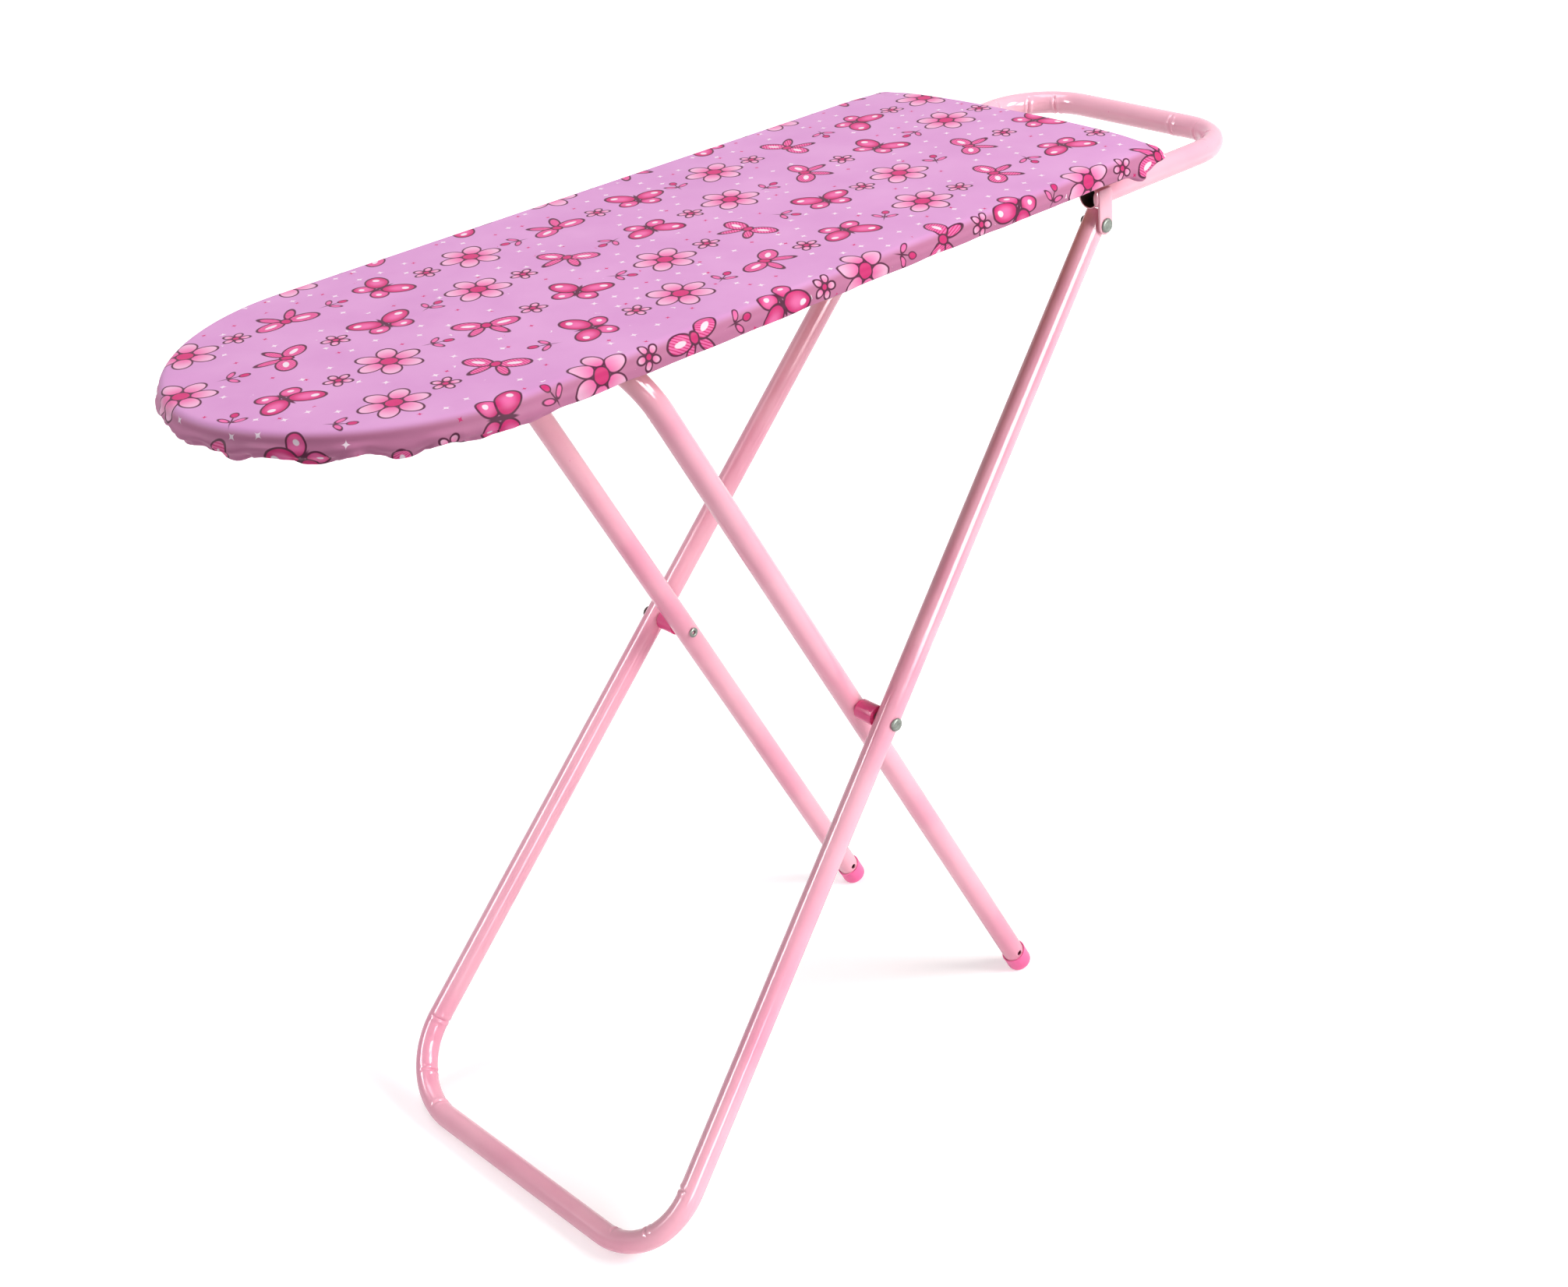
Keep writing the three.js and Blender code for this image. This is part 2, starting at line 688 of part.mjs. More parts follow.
for (const [label, side] of [['near', -1], ['far', 1]]) {
  const steel = material(STEEL, 0.4, 0.8);
  const { rest, batten, clip } = screwPlaces(side);
  board.add(
    hingePlate(`hinge_plate_${label}`, side),
    screw(`rest_screw_${label}`, ...rest, screwTip, steel),
    screw(`batten_screw_${label}`, ...batten, screwTip, steel),
    crossbarClip(`crossbar_clip_${label}`, side),
    screw(`clip_screw_${label}`, ...clip, screwTip, steel),
  );
  const plateFace = restHalfSpacing + tubeRadius + seatGap + plateThickness;
  const legInnerFace = legTopHalfSpacing - tubeRadius;
  const outerFace = outerHalfAt(scissorDistance) + tubeRadius;
  const innerFace = innerHalfAt(0) - tubeRadius;
  outerLegs.add(
    rivet(`hinge_rivet_${label}`, 0, side, plateFace, legInnerFace, hingeRivet),
    rivet(`scissor_rivet_${label}`, -scissorDistance, side, outerFace, innerFace, scissorRivet),
    spacerSleeve(`spacer_sleeve_${label}`, side),
  );
  innerLegs.add(footCap(`foot_cap_${label}`, side));
}

const ironingBoard = new THREE.Group();
ironingBoard.position.x = (coverLength - restReach - tubeRadius) / 2;
ironingBoard.add(board, outerLegs, innerLegs);

export default ironingBoard;
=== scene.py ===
"""Toy ironing board: the visible pieces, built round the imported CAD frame.

Every size is in metres in the frame of the CAD model: +X runs from the rounded nose to the tube rest, the
feet stand on z = 0 and the pieces called "near" are on the -Y side. The board, the outer legs and the inner
legs are the three bodies that fold against each other.
"""

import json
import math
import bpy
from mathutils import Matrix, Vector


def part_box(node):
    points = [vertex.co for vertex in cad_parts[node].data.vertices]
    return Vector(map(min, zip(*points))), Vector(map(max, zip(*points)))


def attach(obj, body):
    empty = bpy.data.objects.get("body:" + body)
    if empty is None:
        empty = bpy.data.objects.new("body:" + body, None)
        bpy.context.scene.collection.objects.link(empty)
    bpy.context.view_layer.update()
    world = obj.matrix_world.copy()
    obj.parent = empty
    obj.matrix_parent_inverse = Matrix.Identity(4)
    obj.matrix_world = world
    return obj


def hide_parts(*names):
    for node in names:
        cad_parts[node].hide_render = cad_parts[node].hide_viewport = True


bl_info = {
    "name": "Toy ironing board",
    "version": (1, 0, 0),
    "blender": (4, 5, 0),
    "location": "3D View > Sidebar > Ironing board",
    "description": "Builds a child's ironing board on two crossed tube frames",
    "category": "Add Mesh",
}

import bmesh
import bpy
import numpy as np
from bpy.props import FloatProperty, FloatVectorProperty, IntProperty, PointerProperty
from bpy.types import Operator, Panel, PropertyGroup
from mathutils import Matrix, Vector

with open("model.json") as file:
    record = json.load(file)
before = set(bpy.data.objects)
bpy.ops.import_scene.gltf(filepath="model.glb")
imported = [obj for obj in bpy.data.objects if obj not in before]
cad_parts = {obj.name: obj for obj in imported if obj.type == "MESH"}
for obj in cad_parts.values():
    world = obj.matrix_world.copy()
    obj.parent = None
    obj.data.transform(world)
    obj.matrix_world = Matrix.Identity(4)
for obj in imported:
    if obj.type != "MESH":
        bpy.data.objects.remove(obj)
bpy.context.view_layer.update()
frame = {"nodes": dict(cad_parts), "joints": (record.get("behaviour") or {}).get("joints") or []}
PIVOTS = {joint["name"]: Vector(joint["pos_m"]) for joint in frame["joints"]}
HINGE = PIVOTS["leg_fold"]
SCISSOR = PIVOTS["scissor"]
SIDES = {"near": -1, "far": 1}
TURN = 2 * math.pi
QUARTER = math.pi / 2
ALONG_Y = np.array((0, 1, 0))

HARD_EDGE, PRESSED_EDGE, NO_EDGE = 35.0, 50.0, 180.0  # degrees above which an edge stays sharp


# ------------------------------
# Sizes and colours that a user would change


def length(name, description, default):
    """A size in metres."""
    return FloatProperty(name=name, description=description, default=default, precision=5, unit="LENGTH")


def number(name, description, default):
    """A plain number or share."""
    return FloatProperty(name=name, description=description, default=default, precision=3)


def colour(name, description, *shown):
    """A colour, given as the 0 to 255 values that it shows on a screen."""
    shown = [channel / 255 for channel in shown]
    linear = [c / 12.92 if c <= 0.04045 else ((c + 0.055) / 1.055) ** 2.4 for c in shown]
    return FloatVectorProperty(
        name=name, description=description, default=linear, subtype="COLOR", size=3, min=0.0, max=1.0
    )


class BoardSizes(PropertyGroup):
    """Sizes of the padded board and its cover."""

    square_end: length("Square end", "Where the square end stands along X", 0.21105)
    cover_length: length("Cover length", "Nose tip to square end", 0.5306)
    cover_width: length("Cover width", "Across the straight sides", 0.2095)
    nose_length: length("Nose length", "From the straight sides to the tip", 0.1104)
    nose_fullness: number("Nose fullness", "Exponent of the nose's superellipse", 1.88)
    corner_radius: length("Corner radius", "At the square end, seen from above", 0.005)
    corner_point: length("Corner point", "How far the two corners are drawn out", 0.0032)
    corner_drop: length("Corner drop", "How far the cloth comes down at the corners", 0.0013)
    corner_tip: length("Corner tip", "How much lower the drawn-out tip hangs", 0.0010)
    end_bulge: length("End bulge", "How far the middle of the end stands out", 0.0040)
    end_dome: length("End dome", "How much fuller the middle of the end is", 0.0018)
    side_hang: length("Side hang", "How much lower the cloth hangs along the sides", 0.0013)
    cover_top: length("Cover top", "Height of the ironing surface", 0.4960)
    hem_height: length("Hem height", "Lowest cloth along the straight sides", 0.4843)
    cloth_thickness: length("Cloth thickness", "Of the cover", 0.0005)
    edge_round: length("Edge round", "Radius of the soft top edge", 0.0042)
    hem_round: length("Hem round", "Radius where the cloth turns under", 0.0018)
    hem_width: length("Hem width", "Cloth tucked under the sides", 0.016)
    hem_end_width: length("End hem width", "Cloth tucked under the square end", 0.0064)
    gather_depth: length("Gather depth", "How far the gathers stand out", 0.0024)
    nose_hang: length("Nose hang", "How much lower the cloth hangs round the nose", 0.0034)
    pad_bottom: length("Pad bottom", "Underside of the foam", 0.4919)
    pad_top: length("Pad top", "Top of the foam", 0.4952)
    elastic_width: length("Elastic width", "Of the gathered elastic", 0.003)
    elastic_thickness: length("Elastic thickness", "Of the gathered elastic", 0.0016)


class TubeSizes(PropertyGroup):
    """Sizes of the bent tubes. Bend radii are those of the centre line."""

    diameter: length("Tube diameter", "Outside diameter of every tube", 0.013)
    wall: length("Tube wall", "Wall thickness", 0.0009)
    rest_height: length("Rest height", "Height of the rest's centre line", 0.46875)
    rest_half: length("Rest half spacing", "From the middle to each arm", 0.0765)
    rest_skew: length("Rest skew", "How far the far bend is out of true", 0.0045)
    rest_reach: length("Rest reach", "How far the rest stands out", 0.102)
    rest_tail: length("Rest tail", "How far in the open ends lie", 0.0273)
    rest_bend: length("Rest bend radius", "Of the rest's two bends", 0.037)
    outer_top: length("Outer leg top", "How far the legs reach past the hinge", 0.0055)
    outer_top_half: length("Outer top half spacing", "At the hinge", 0.0761)
    outer_length: length("Outer leg length", "Hinge to ground bar", 0.60284)
    outer_foot_half: length("Outer foot half width", "At the ground bar", 0.1158)
    outer_bend: length("Outer bend radius", "Of the ground bar's bends", 0.042)
    outer_angle: number("Outer leg angle", "Slope in degrees", 47.83)
    inner_angle: number("Inner leg angle", "Slope in degrees", 62.95)
    crossbar_distance: length("Crossbar distance", "Scissor pivot to crossbar", 0.2656)
    inner_top_half: length("Inner top half width", "At the crossbar", 0.0652)
    inner_foot_half: length("Inner foot half width", "At the feet", 0.0723)
    inner_bend: length("Inner bend radius", "Of the crossbar's bends", 0.036)
    foot_hole: length("Foot hole", "Diameter of the hole above each cap", 0.0034)
    foot_hole_setback: length("Foot hole setback", "From the cap's mouth to the hole", 0.0022)
    crease_depth: length("Crease depth", "Of the dents that the bending left", 0.0008)
    sides: IntProperty(name="Tube sides", description="Faces round a tube", default=48, min=12)


class FittingSizes(PropertyGroup):
    """Sizes of the plates, rivets, sleeves, caps and screws."""

    plate_width: length("Plate width", "Of the hinge plates", 0.0104)
    plate_thickness: length("Plate thickness", "Of the hinge plates", 0.0015)
    plate_over: length("Plate over tube", "How far it reaches above the tube's centre", 0.005)
    hinge_head: length("Hinge rivet head", "Diameter", 0.008)
    hinge_tail: length("Hinge rivet tail", "Diameter", 0.0054)
    scissor_head: length("Scissor rivet head", "Diameter", 0.0075)
    scissor_tail: length("Scissor rivet tail", "Diameter", 0.0059)
    rivet_shank: length("Rivet shank", "Diameter", 0.0046)
    spacer_diameter: length("Spacer diameter", "Of the sleeves between the frames", 0.0115)
    cap_radius: length("Cap radius", "Outside radius of the foot caps", 0.0074)
    cap_length: length("Cap length", "Along the cap's axis", 0.0126)
    cap_slant: length("Cap slant", "How far the mouth leans over half its width", 0.0010)
    cap_round: length("Cap round", "Radius of the closed end", 0.0035)
    screw_shank: length("Screw shank", "Diameter", 0.0032)
    screw_head: length("Screw head", "Diameter", 0.006)
    screw_head_height: length("Screw head height", "Along the screw", 0.0017)


class BoardColours(PropertyGroup):
    """Colours of the finishes."""

    paint: colour("Tube paint", "Pink enamel", 252, 191, 209)
    paint_deep: colour("Tube paint, deep", "The enamel where it is thick", 242, 163, 190)
    cloth: colour("Cloth", "Ground of the cover", 211, 151, 205)
    cloth_pale: colour("Cloth, pale", "Lighter threads", 219, 164, 213)
    # Painted shade: the side band's colour is drawn darker than the top, for the shade where the cloth turns
    # down over the edge.
    cloth_side_shade: colour("Cloth, side band", "Deeper ground of the band", 192, 121, 160)
    print_magenta: colour("Print magenta", "Strong colour", 206, 40, 116)
    print_rose: colour("Print rose", "Soft colour", 232, 108, 170)
    print_blush: colour("Print blush", "Petals", 238, 182, 214)
    print_plum: colour("Print plum", "Outlines", 78, 18, 54)
    print_white: colour("Print white", "Spots", 240, 226, 238)
    cap_pink: colour("Cap pink", "Soft plastic of the caps", 250, 110, 172)
    sleeve_magenta: colour("Sleeve magenta", "Plastic of the sleeves", 232, 78, 142)
    steel: colour("Rivet steel", "Dull zinc", 140, 150, 142)
    spring: colour("Spring steel", "Polished strip", 178, 180, 182)
    fibreboard: colour("Fibreboard", "Pressed board", 176, 134, 88)
    pine: colour("Pine", "Batten wood", 214, 178, 122)
    foam: colour("Foam", "Pale foam", 236, 228, 206)
    elastic: colour("Elastic", "Covered elastic", 236, 178, 224)


# ------------------------------
# Node finishes


class Signal:
    """What comes out of a node, so that shapes in a finish can be written as arithmetic."""

    def __init__(self, nodes, socket):
        self.nodes = nodes
        self.socket = socket

    def __rsub__(self, other):
        return self.nodes.math("SUBTRACT", other, self)


def arithmetic(operation):
    """A method that runs an operation of the math node on a Signal and what the method is given."""
    return lambda self, *others: self.nodes.math(operation, self, *others)


for method, operation in {
    "__add__": "ADD",
    "__radd__": "ADD",
    "__sub__": "SUBTRACT",
    "__mul__": "MULTIPLY",
    "__rmul__": "MULTIPLY",
    "__truediv__": "DIVIDE",
    "__abs__": "ABSOLUTE",
    "floor": "FLOOR",
    "modulo": "FLOORED_MODULO",
    "least": "MINIMUM",
    "most": "MAXIMUM",
    "above": "GREATER_THAN",
    "below": "LESS_THAN",
    "sine": "SINE",
    "cosine": "COSINE",
    "root": "SQRT",
}.items():
    setattr(Signal, method, arithmetic(operation))


def distance_to(x, y):
    """Distance from the origin, sqrt(x^2 + y^2)."""
    return (x * x + y * y).root()


class Nodes:
    """The nodes of a material or world: each method adds one and gives back the Signal that comes out.
    Inputs go by name or place, and each is a number, a colour or a Signal."""

    def __init__(self, holder, shader, **values):
        holder.use_nodes = True
        self.holder, self.tree = holder, holder.node_tree
        self.shader = self.tree.nodes[shader]
        for key, value in values.items():
            self.shader.inputs[key.replace("_", " ")].default_value = value

    def feed(self, node, inputs):
        for key, value in inputs.items():
            if isinstance(value, Signal):
                self.tree.links.new(value.socket, node.inputs[key])
            else:
                node.inputs[key].default_value = value

    def add(self, kind, inputs, output=0, **attributes):
        node = self.tree.nodes.new(kind)
        for key, value in attributes.items():
            setattr(node, key, value)
        self.feed(node, inputs)
        return Signal(self, node.outputs[output])

    def math(self, operation, *values):
        return self.add("ShaderNodeMath", dict(enumerate(values)), operation=operation)

    def place(self, stretch=1.0):
        """The point on the piece in metres, with its height stretched."""
        point = self.add("ShaderNodeTexCoord", {}, "Object")
        return point if stretch == 1.0 else self.stretched(point, (1.0, 1.0, stretch))

    def map(self, name):
        """A UV map of the piece, in metres."""
        return self.add("ShaderNodeUVMap", {}, uv_map=name)

    def stretched(self, vector, scale):
        return self.add("ShaderNodeVectorMath", {0: vector, 1: scale}, operation="MULTIPLY")

    def parts(self, vector):
        node = self.tree.nodes.new("ShaderNodeSeparateXYZ")
        self.feed(node, {0: vector})
        return [Signal(self, output) for output in node.outputs]

    def noise(self, vector, scale, detail=2.0, roughness=0.5):
        inputs = {"Vector": vector, "Scale": scale, "Detail": detail, "Roughness": roughness}
        return self.add("ShaderNodeTexNoise", inputs)

    def remap(self, value, low, high, to_low=0.0, to_high=1.0, smooth=False):
        inputs = {"Value": value, "From Min": low, "From Max": high, "To Min": to_low, "To Max": to_high}
        return self.add("ShaderNodeMapRange", inputs, interpolation_type="SMOOTHSTEP" if smooth else "LINEAR")

    def mix(self, share, first, second):
        """A mix of two colours, each a Signal or red, green and blue."""
        first, second = (c if isinstance(c, Signal) else (*c[:3], 1.0) for c in (first, second))
        return self.add("ShaderNodeMix", {0: share, 6: first, 7: second}, 2, data_type="RGBA")

    def bump(self, height, distance, strength, **under):
        inputs = {"Height": height, "Distance": distance, "Strength": strength, **under}
        return self.add("ShaderNodeBump", inputs)

    def send(self, **signals):
        """Links signals to the shader's inputs and gives back the finished material."""
        self.feed(self.shader, {key.replace("_", " "): signal for key, signal in signals.items()})
        return self.holder


def finish_nodes(name, **values):
    """The nodes of a new material, whose shader takes the given values."""
    return Nodes(bpy.data.materials.new(name), "Principled BSDF", **values)


def scaled(tint, *factors):
    """A colour times one factor or one for each channel."""
    return [channel * factor for channel, factor in zip(tint, factors * 3)]


def enamel(colours):
    """Glossy pink enamel over tube: slow changes of depth, faint orange peel and a little uneven gloss."""
    nodes = finish_nodes("pink_enamel", IOR=1.55)
    place = nodes.place()
    depth = nodes.remap(nodes.noise(place, 14.0, 3.0), 0.35, 0.75, smooth=True)
    speck = nodes.remap(nodes.noise(place, 900.0, 1.0), 0.80, 0.84, smooth=True)
    base = nodes.mix(speck, nodes.mix(depth, colours.paint, colours.paint_deep), colours.print_rose)
    gloss = nodes.remap(nodes.noise(place, 60.0, 4.0), 0.3, 0.8, 0.09, 0.2)
    peel = nodes.bump(nodes.noise(place, 650.0), 0.00002, 0.25)
    return nodes.send(Base_Color=base, Roughness=gloss, Normal=peel)


def mottled(name, tints, noise, share, gloss, relief=None, **values):
    """A finish whose noise mixes two tints over a share of its range and sets the gloss. The relief is the
    height's stretch, scale, depth and strength of another noise."""
    nodes = finish_nodes(name, **values)
    mottle = nodes.noise(nodes.place(), *noise)
    base, rough = nodes.mix(nodes.remap(mottle, *share), *tints), nodes.remap(mottle, *gloss)
    normal = {}
    if relief:
        stretch, scale, depth, strength = relief
        normal["Normal"] = nodes.bump(nodes.noise(nodes.place(stretch), scale), depth, strength)
    return nodes.send(Base_Color=base, Roughness=rough, **normal)


def shaded_bare_steel():
    """The unpainted inside of a tube: mottled bare steel, its near-black tone painted shade of the deep bore.
    """
    # Near-black tints: painted shade of the tube's bore.
    tints, levels = ((0.035, 0.028, 0.026), (0.10, 0.055, 0.04)), (0.3, 0.8, 0.5, 0.8)
    return mottled("tube_inside_shade", tints, (220.0, 5.0, 0.65), (0.4, 0.7), levels, Metallic=0.6)


def plastic(name, tint, gloss):
    """Moulded plastic with faint flow clouds and a fine mould grain."""
    pale = [min(1.0, channel * 1.12 + 0.012) for channel in tint]
    levels, grain = (0.3, 0.8, gloss, gloss + 0.12), (1.0, 1800.0, 0.00003, 0.5)
    return mottled(name, (tint, pale), (90.0, 3.0), (0.35, 0.7), levels, grain, IOR=1.47)


def steel(name, tint, metallic, rough):
    """Steel with fine wear: small scuffs lighten it and blotches dull it."""
    levels, scuff = (0.3, 0.75, rough, rough + 0.2), (6.0, 900.0, 0.00004, 0.6)
    tints = (tint, scaled(tint, 0.62))
    return mottled(name, tints, (700.0, 4.0, 0.6), (0.35, 0.7), levels, scuff, Metallic=metallic)


def pressed_board(colours):
    """Fibreboard: short fibres in two browns with a soft waxed surface."""
    nodes = finish_nodes("fibreboard", IOR=1.4)
    fibre = nodes.noise(nodes.place(4.0), 1100.0, 4.0, 0.7)
    cloud = nodes.remap(nodes.noise(nodes.place(), 30.0), 0.4, 0.7, 0.0, 0.25)
    dark = scaled(colours.fibreboard, 0.68)
    base = nodes.mix(cloud, nodes.mix(nodes.remap(fibre, 0.35, 0.65), dark, colours.fibreboard), colours.pine)
    rough = nodes.remap(fibre, 0.3, 0.7, 0.62, 0.8)
    return nodes.send(Base_Color=base, Roughness=rough, Normal=nodes.bump(fibre, 0.0001, 0.5))


def sawn_pine(colours):
    """Pine along Y: stretched growth bands and fine pores."""
    nodes = finish_nodes("sawn_pine", IOR=1.4)
    place = nodes.place()
    along = nodes.stretched(place, (1.0, 0.06, 1.0))
    height = nodes.parts(along)[2]
    band = (height * 2600.0 + nodes.noise(along, 60.0) * 22.0).sine() * 0.5 + 0.5
    fibre = nodes.noise(nodes.stretched(place, (1.0, 0.03, 1.0)), 1500.0, 3.0, 0.6)
    base = nodes.mix(band * 0.45 + fibre * 0.35, colours.pine, scaled(colours.pine, 0.72, 0.62, 0.5))
    rough = nodes.remap(fibre, 0.3, 0.7, 0.55, 0.72)
    return nodes.send(Base_Color=base, Roughness=rough, Normal=nodes.bump(fibre, 0.00012, 0.5))


def open_foam(colours):
    """Foam: round open cells of several sizes, each cell's pit painted darker as shade."""
    nodes = finish_nodes("open_foam", Roughness=0.95)
    cells = nodes.add("ShaderNodeTexVoronoi", {"Vector": nodes.place(), "Scale": 1300.0})
    # Painted shade: the foam is darker in the pits of its cells.
    base = nodes.mix(nodes.remap(cells, 0.1, 0.6), scaled(colours.foam, 0.75), colours.foam)
    return nodes.send(Base_Color=base, Normal=nodes.bump(cells, 0.0003, 0.6))


def covered_elastic(colours):
    """Elastic in a thread cover: fine crosswise ribs, with painted shade darkening the grooves between them.
    """
    nodes = finish_nodes("covered_elastic", Roughness=0.8, Sheen_Weight=0.3)
    along, across, _ = nodes.parts(nodes.map("cloth"))
    rib = (along * 9000.0).sine() * 0.5 + 0.5
    thread = (across * 7000.0).sine() * 0.5 + 0.5
    # Painted shade: darker in the rib grooves; the thread stripes are the thread's own tone.
    base = nodes.mix(rib * 0.7 + thread * 0.3, scaled(colours.elastic, 0.8), colours.elastic)
    return nodes.send(Base_Color=base, Normal=nodes.bump(rib, 0.0002, 0.6))


# ------------------------------
# The printed cloth. Its print is worked out in millimetres on the cloth's own map: big motifs on a brick
# lattice, small ones half a step along, and loose dots between them.

BIG_PITCH = (54.0, 43.0)
BIG_SHIFT = 11.0
BIG_REACH = 17.0
SMALL_REACH = 8.5
MOTIF_SCALE = 1.3
LINE, THIN_LINE = 0.34, 0.22
SOFT = 0.16

# The ovals of each motif, drawn in order and mirrored across x = 0: centre, radii, turn, tint, line round
# it, and what is laid over it.
BOW = (
    ((4.0, -5.0), (1.9, 5.0), 0.55, "rose", LINE, "stripes"),
    ((6.6, 1.6), (5.6, 3.7), 0.25, "rose", LINE, "stripes"),
    ((6.4, 1.5), (2.6, 1.1), 0.25, "white", None, None),
    ((0.0, 0.4), (1.9, 2.4), 0.0, "magenta", LINE, None),
)
BUTTERFLY = (
    ((4.5, -4.4), (4.2, 3.4), -0.6, "magenta", LINE, "bloom"),
    ((6.2, 3.4), (6.4, 4.3), 0.6, "magenta", LINE, "bloom"),
    ((8.4, 4.9), (1.5, 1.2), 0.0, "white", None, None),
    ((4.9, -5.1), (1.2, 1.0), 0.0, "white", None, None),
    ((0.0, 0.2), (0.8, 5.6), 0.0, "plum", None, None),
)
SPRIG = (
    ((0.0, -1.0), (0.3, 4.0), 0.0, "plum", None, None),
    ((2.7, -0.6), (2.5, 1.1), 0.6, "rose", THIN_LINE, None),
    ((0.0, 3.7), (1.4, 1.9), 0.0, "magenta", THIN_LINE, None),
)


class Printer:
    """Draws shapes on top of each other: each is laid over the colour below it, on the cells of where."""

    def __init__(self, nodes, ground, colours):
        self.nodes, self.colour, self.colours = nodes, ground, colours

    def lay(self, distance, tint, where, share=1.0):
        """Fills the inside of a shape, where its signed distance is below 0."""
        inside = self.nodes.remap(distance, SOFT, -SOFT, smooth=True) * where
        tint = getattr(self.colours, f"print_{tint}")
        self.colour = self.nodes.mix(inside * share, self.colour, tint)

    def line(self, distance, where, width=LINE):
        self.lay(abs(distance) - width, "plum", where)

    def motif(self, x, y, where, ovals):
        """Draws the ovals of a motif."""
        side = abs(x)
        for centre, radii, angle, tint, line, over in ovals:
            shape = oval(side, y, centre, radii, angle)
            self.lay(shape, tint, where)
            if over == "stripes":
                self.lay(shape, "magenta", where, ((x + y) / 1.5).modulo(1.0).below(0.36))
            elif over == "bloom":
                bloom = oval(side, y, centre, (5.2, 3.8), 0.5)
                self.lay(shape, "rose", where, self.nodes.remap(bloom, 0.3, -3.0, smooth=True))
            if line:
                self.line(shape, where, line)

    def daisy(self, x, y, where, petals=6, scale=1.0):
        """A daisy: one oval petal repeated round a disc by folding the angle into one sector."""
        radius = distance_to(x, y)
        sector = TURN / petals
        folded = (self.nodes.math("ARCTAN2", y, x) + sector / 2).modulo(sector) - sector / 2
        along, across = radius * folded.cosine(), radius * folded.sine()
        petal = oval(along, across, (7.7 * scale, 0.0), (4.7 * scale, 3.5 * scale))
        self.lay(petal, "blush", where)
        self.lay(petal, "rose", where, self.nodes.remap(radius, 10.5 * scale, 4.0 * scale))
        self.line(petal, where)
        disc = radius - 3.3 * scale
        self.lay(disc, "magenta", where)
        self.line(disc, where)


def oval(x, y, centre, radii, angle=0.0):
    """Signed distance to a turned ellipse, near enough at its edge: (|p / radii| - 1) * smaller radius."""
    cosine, sine = math.cos(angle), math.sin(angle)
    x, y = x - centre[0], y - centre[1]
    across, up = x * cosine + y * sine, y * cosine - x * sine
    return (distance_to(across / radii[0], up / radii[1]) - 1.0) * min(radii)


def lattice(u, v, pitch, shift):
    """Brick lattice cells: local x and y in millimetres, turned at random, the cell's number and chance."""
    wide, tall = pitch
    row = (v / tall).floor()
    along = (u + row.modulo(2.0) * (wide / 2) + shift) / wide
    column = along.floor()
    x, y = (along - column - 0.5) * wide, (v / tall - row - 0.5) * tall
    cell = u.nodes.add("ShaderNodeCombineXYZ", {"X": column, "Y": row, "Z": shift})
    chance = u.nodes.add("ShaderNodeTexWhiteNoise", {"Vector": cell}, noise_dimensions="3D")
    cosine, sine = (chance * TURN).cosine(), (chance * TURN).sine()
    return x * cosine + y * sine, y * cosine - x * sine, column + row * 2.0, chance


def printed_cloth(colours):
    """Satin-smooth printed cotton: ground, motifs, weave, sheen and a stitched hem, with painted shade
    darkening the side band below the top edge.
    """
    sheen = {"Sheen_Weight": 0.05, "Sheen_Roughness": 0.4, "Specular_IOR_Level": 0.2}
    nodes = finish_nodes("printed_cloth", **sheen)
    place, flat = nodes.place(), nodes.map("cloth")
    u, v, _ = nodes.parts(nodes.stretched(flat, (1000.0, 1000.0, 0.0)))
    cloud = nodes.noise(place, 22.0, 3.0)
    ground = nodes.mix(nodes.remap(cloud, 0.35, 0.7), colours.cloth, colours.cloth_pale)
    # Painted shade: below the top edge the ground turns to the darker side band colour.
    on_side = nodes.remap(nodes.parts(place)[2], 0.4954, 0.4924, smooth=True)
    printer = Printer(nodes, nodes.mix(on_side, ground, colours.cloth_side_shade), colours)
    x, y, kind, _ = lattice(u, v, BIG_PITCH, BIG_SHIFT)
    kind = kind.modulo(3.0)
    is_daisy, is_butterfly = kind.below(0.5), kind.above(1.5)
    near_x, near_y, small_kind, _ = lattice(u, v, BIG_PITCH, BIG_SHIFT + BIG_PITCH[0] / 2)
    is_blossom = small_kind.modulo(2.0).below(0.5)
    big, small = distance_to(x, y) - BIG_REACH, distance_to(near_x, near_y) - SMALL_REACH
    clear = big.least(small).above(0.6)
    for pitch, shift, radius, tint, odds in (
        ((13.0, 11.5), 3.0, 2.6, "white", 0.5),
        ((17.0, 15.0), 7.0, 1.9, "magenta", 0.6),
    ):
        dot_x, dot_y, _, chance = lattice(u, v, pitch, shift)
        points = abs(dot_x - 1.6).root() + abs(dot_y).root()
        printer.lay(points * points - radius, tint, clear * chance.above(odds))
    x, y, near_x, near_y = (across / MOTIF_SCALE for across in (x, y, near_x, near_y))
    printer.daisy(x, y, is_daisy)
    printer.motif(x, y, 1.0 - is_daisy - is_butterfly, BOW)
    printer.motif(x, y, is_butterfly, BUTTERFLY)
    printer.daisy(near_x, near_y, is_blossom, petals=5, scale=0.42)
    printer.motif(near_x, near_y, 1.0 - is_blossom, SPRIG)
    around, hem, _ = nodes.parts(nodes.map("hem"))
    dash = (around * 420.0).modulo(1.0).below(0.62)
    stitch = nodes.remap(abs(hem - 0.0055), 0.0004, 0.0002, smooth=True) * dash
    coloured = nodes.mix(stitch, printer.colour, colours.print_rose)
    weave = nodes.bump((u * 13.0).sine() * (v * 13.0).sine(), 0.00003, 0.5)
    slub = nodes.bump(nodes.noise(flat, 420.0, 3.0), 0.00008, 0.35, Normal=weave)
    normal = nodes.bump(stitch, 0.0002, 0.8, Normal=slub)
    return nodes.send(Base_Color=coloured, Roughness=nodes.remap(cloud, 0.3, 0.75, 0.5, 0.6), Normal=normal)


# ------------------------------
# Surfaces


def bell(distance, width):
    """exp(-(distance / width)^2)."""
    return np.exp(-((distance / width) ** 2))


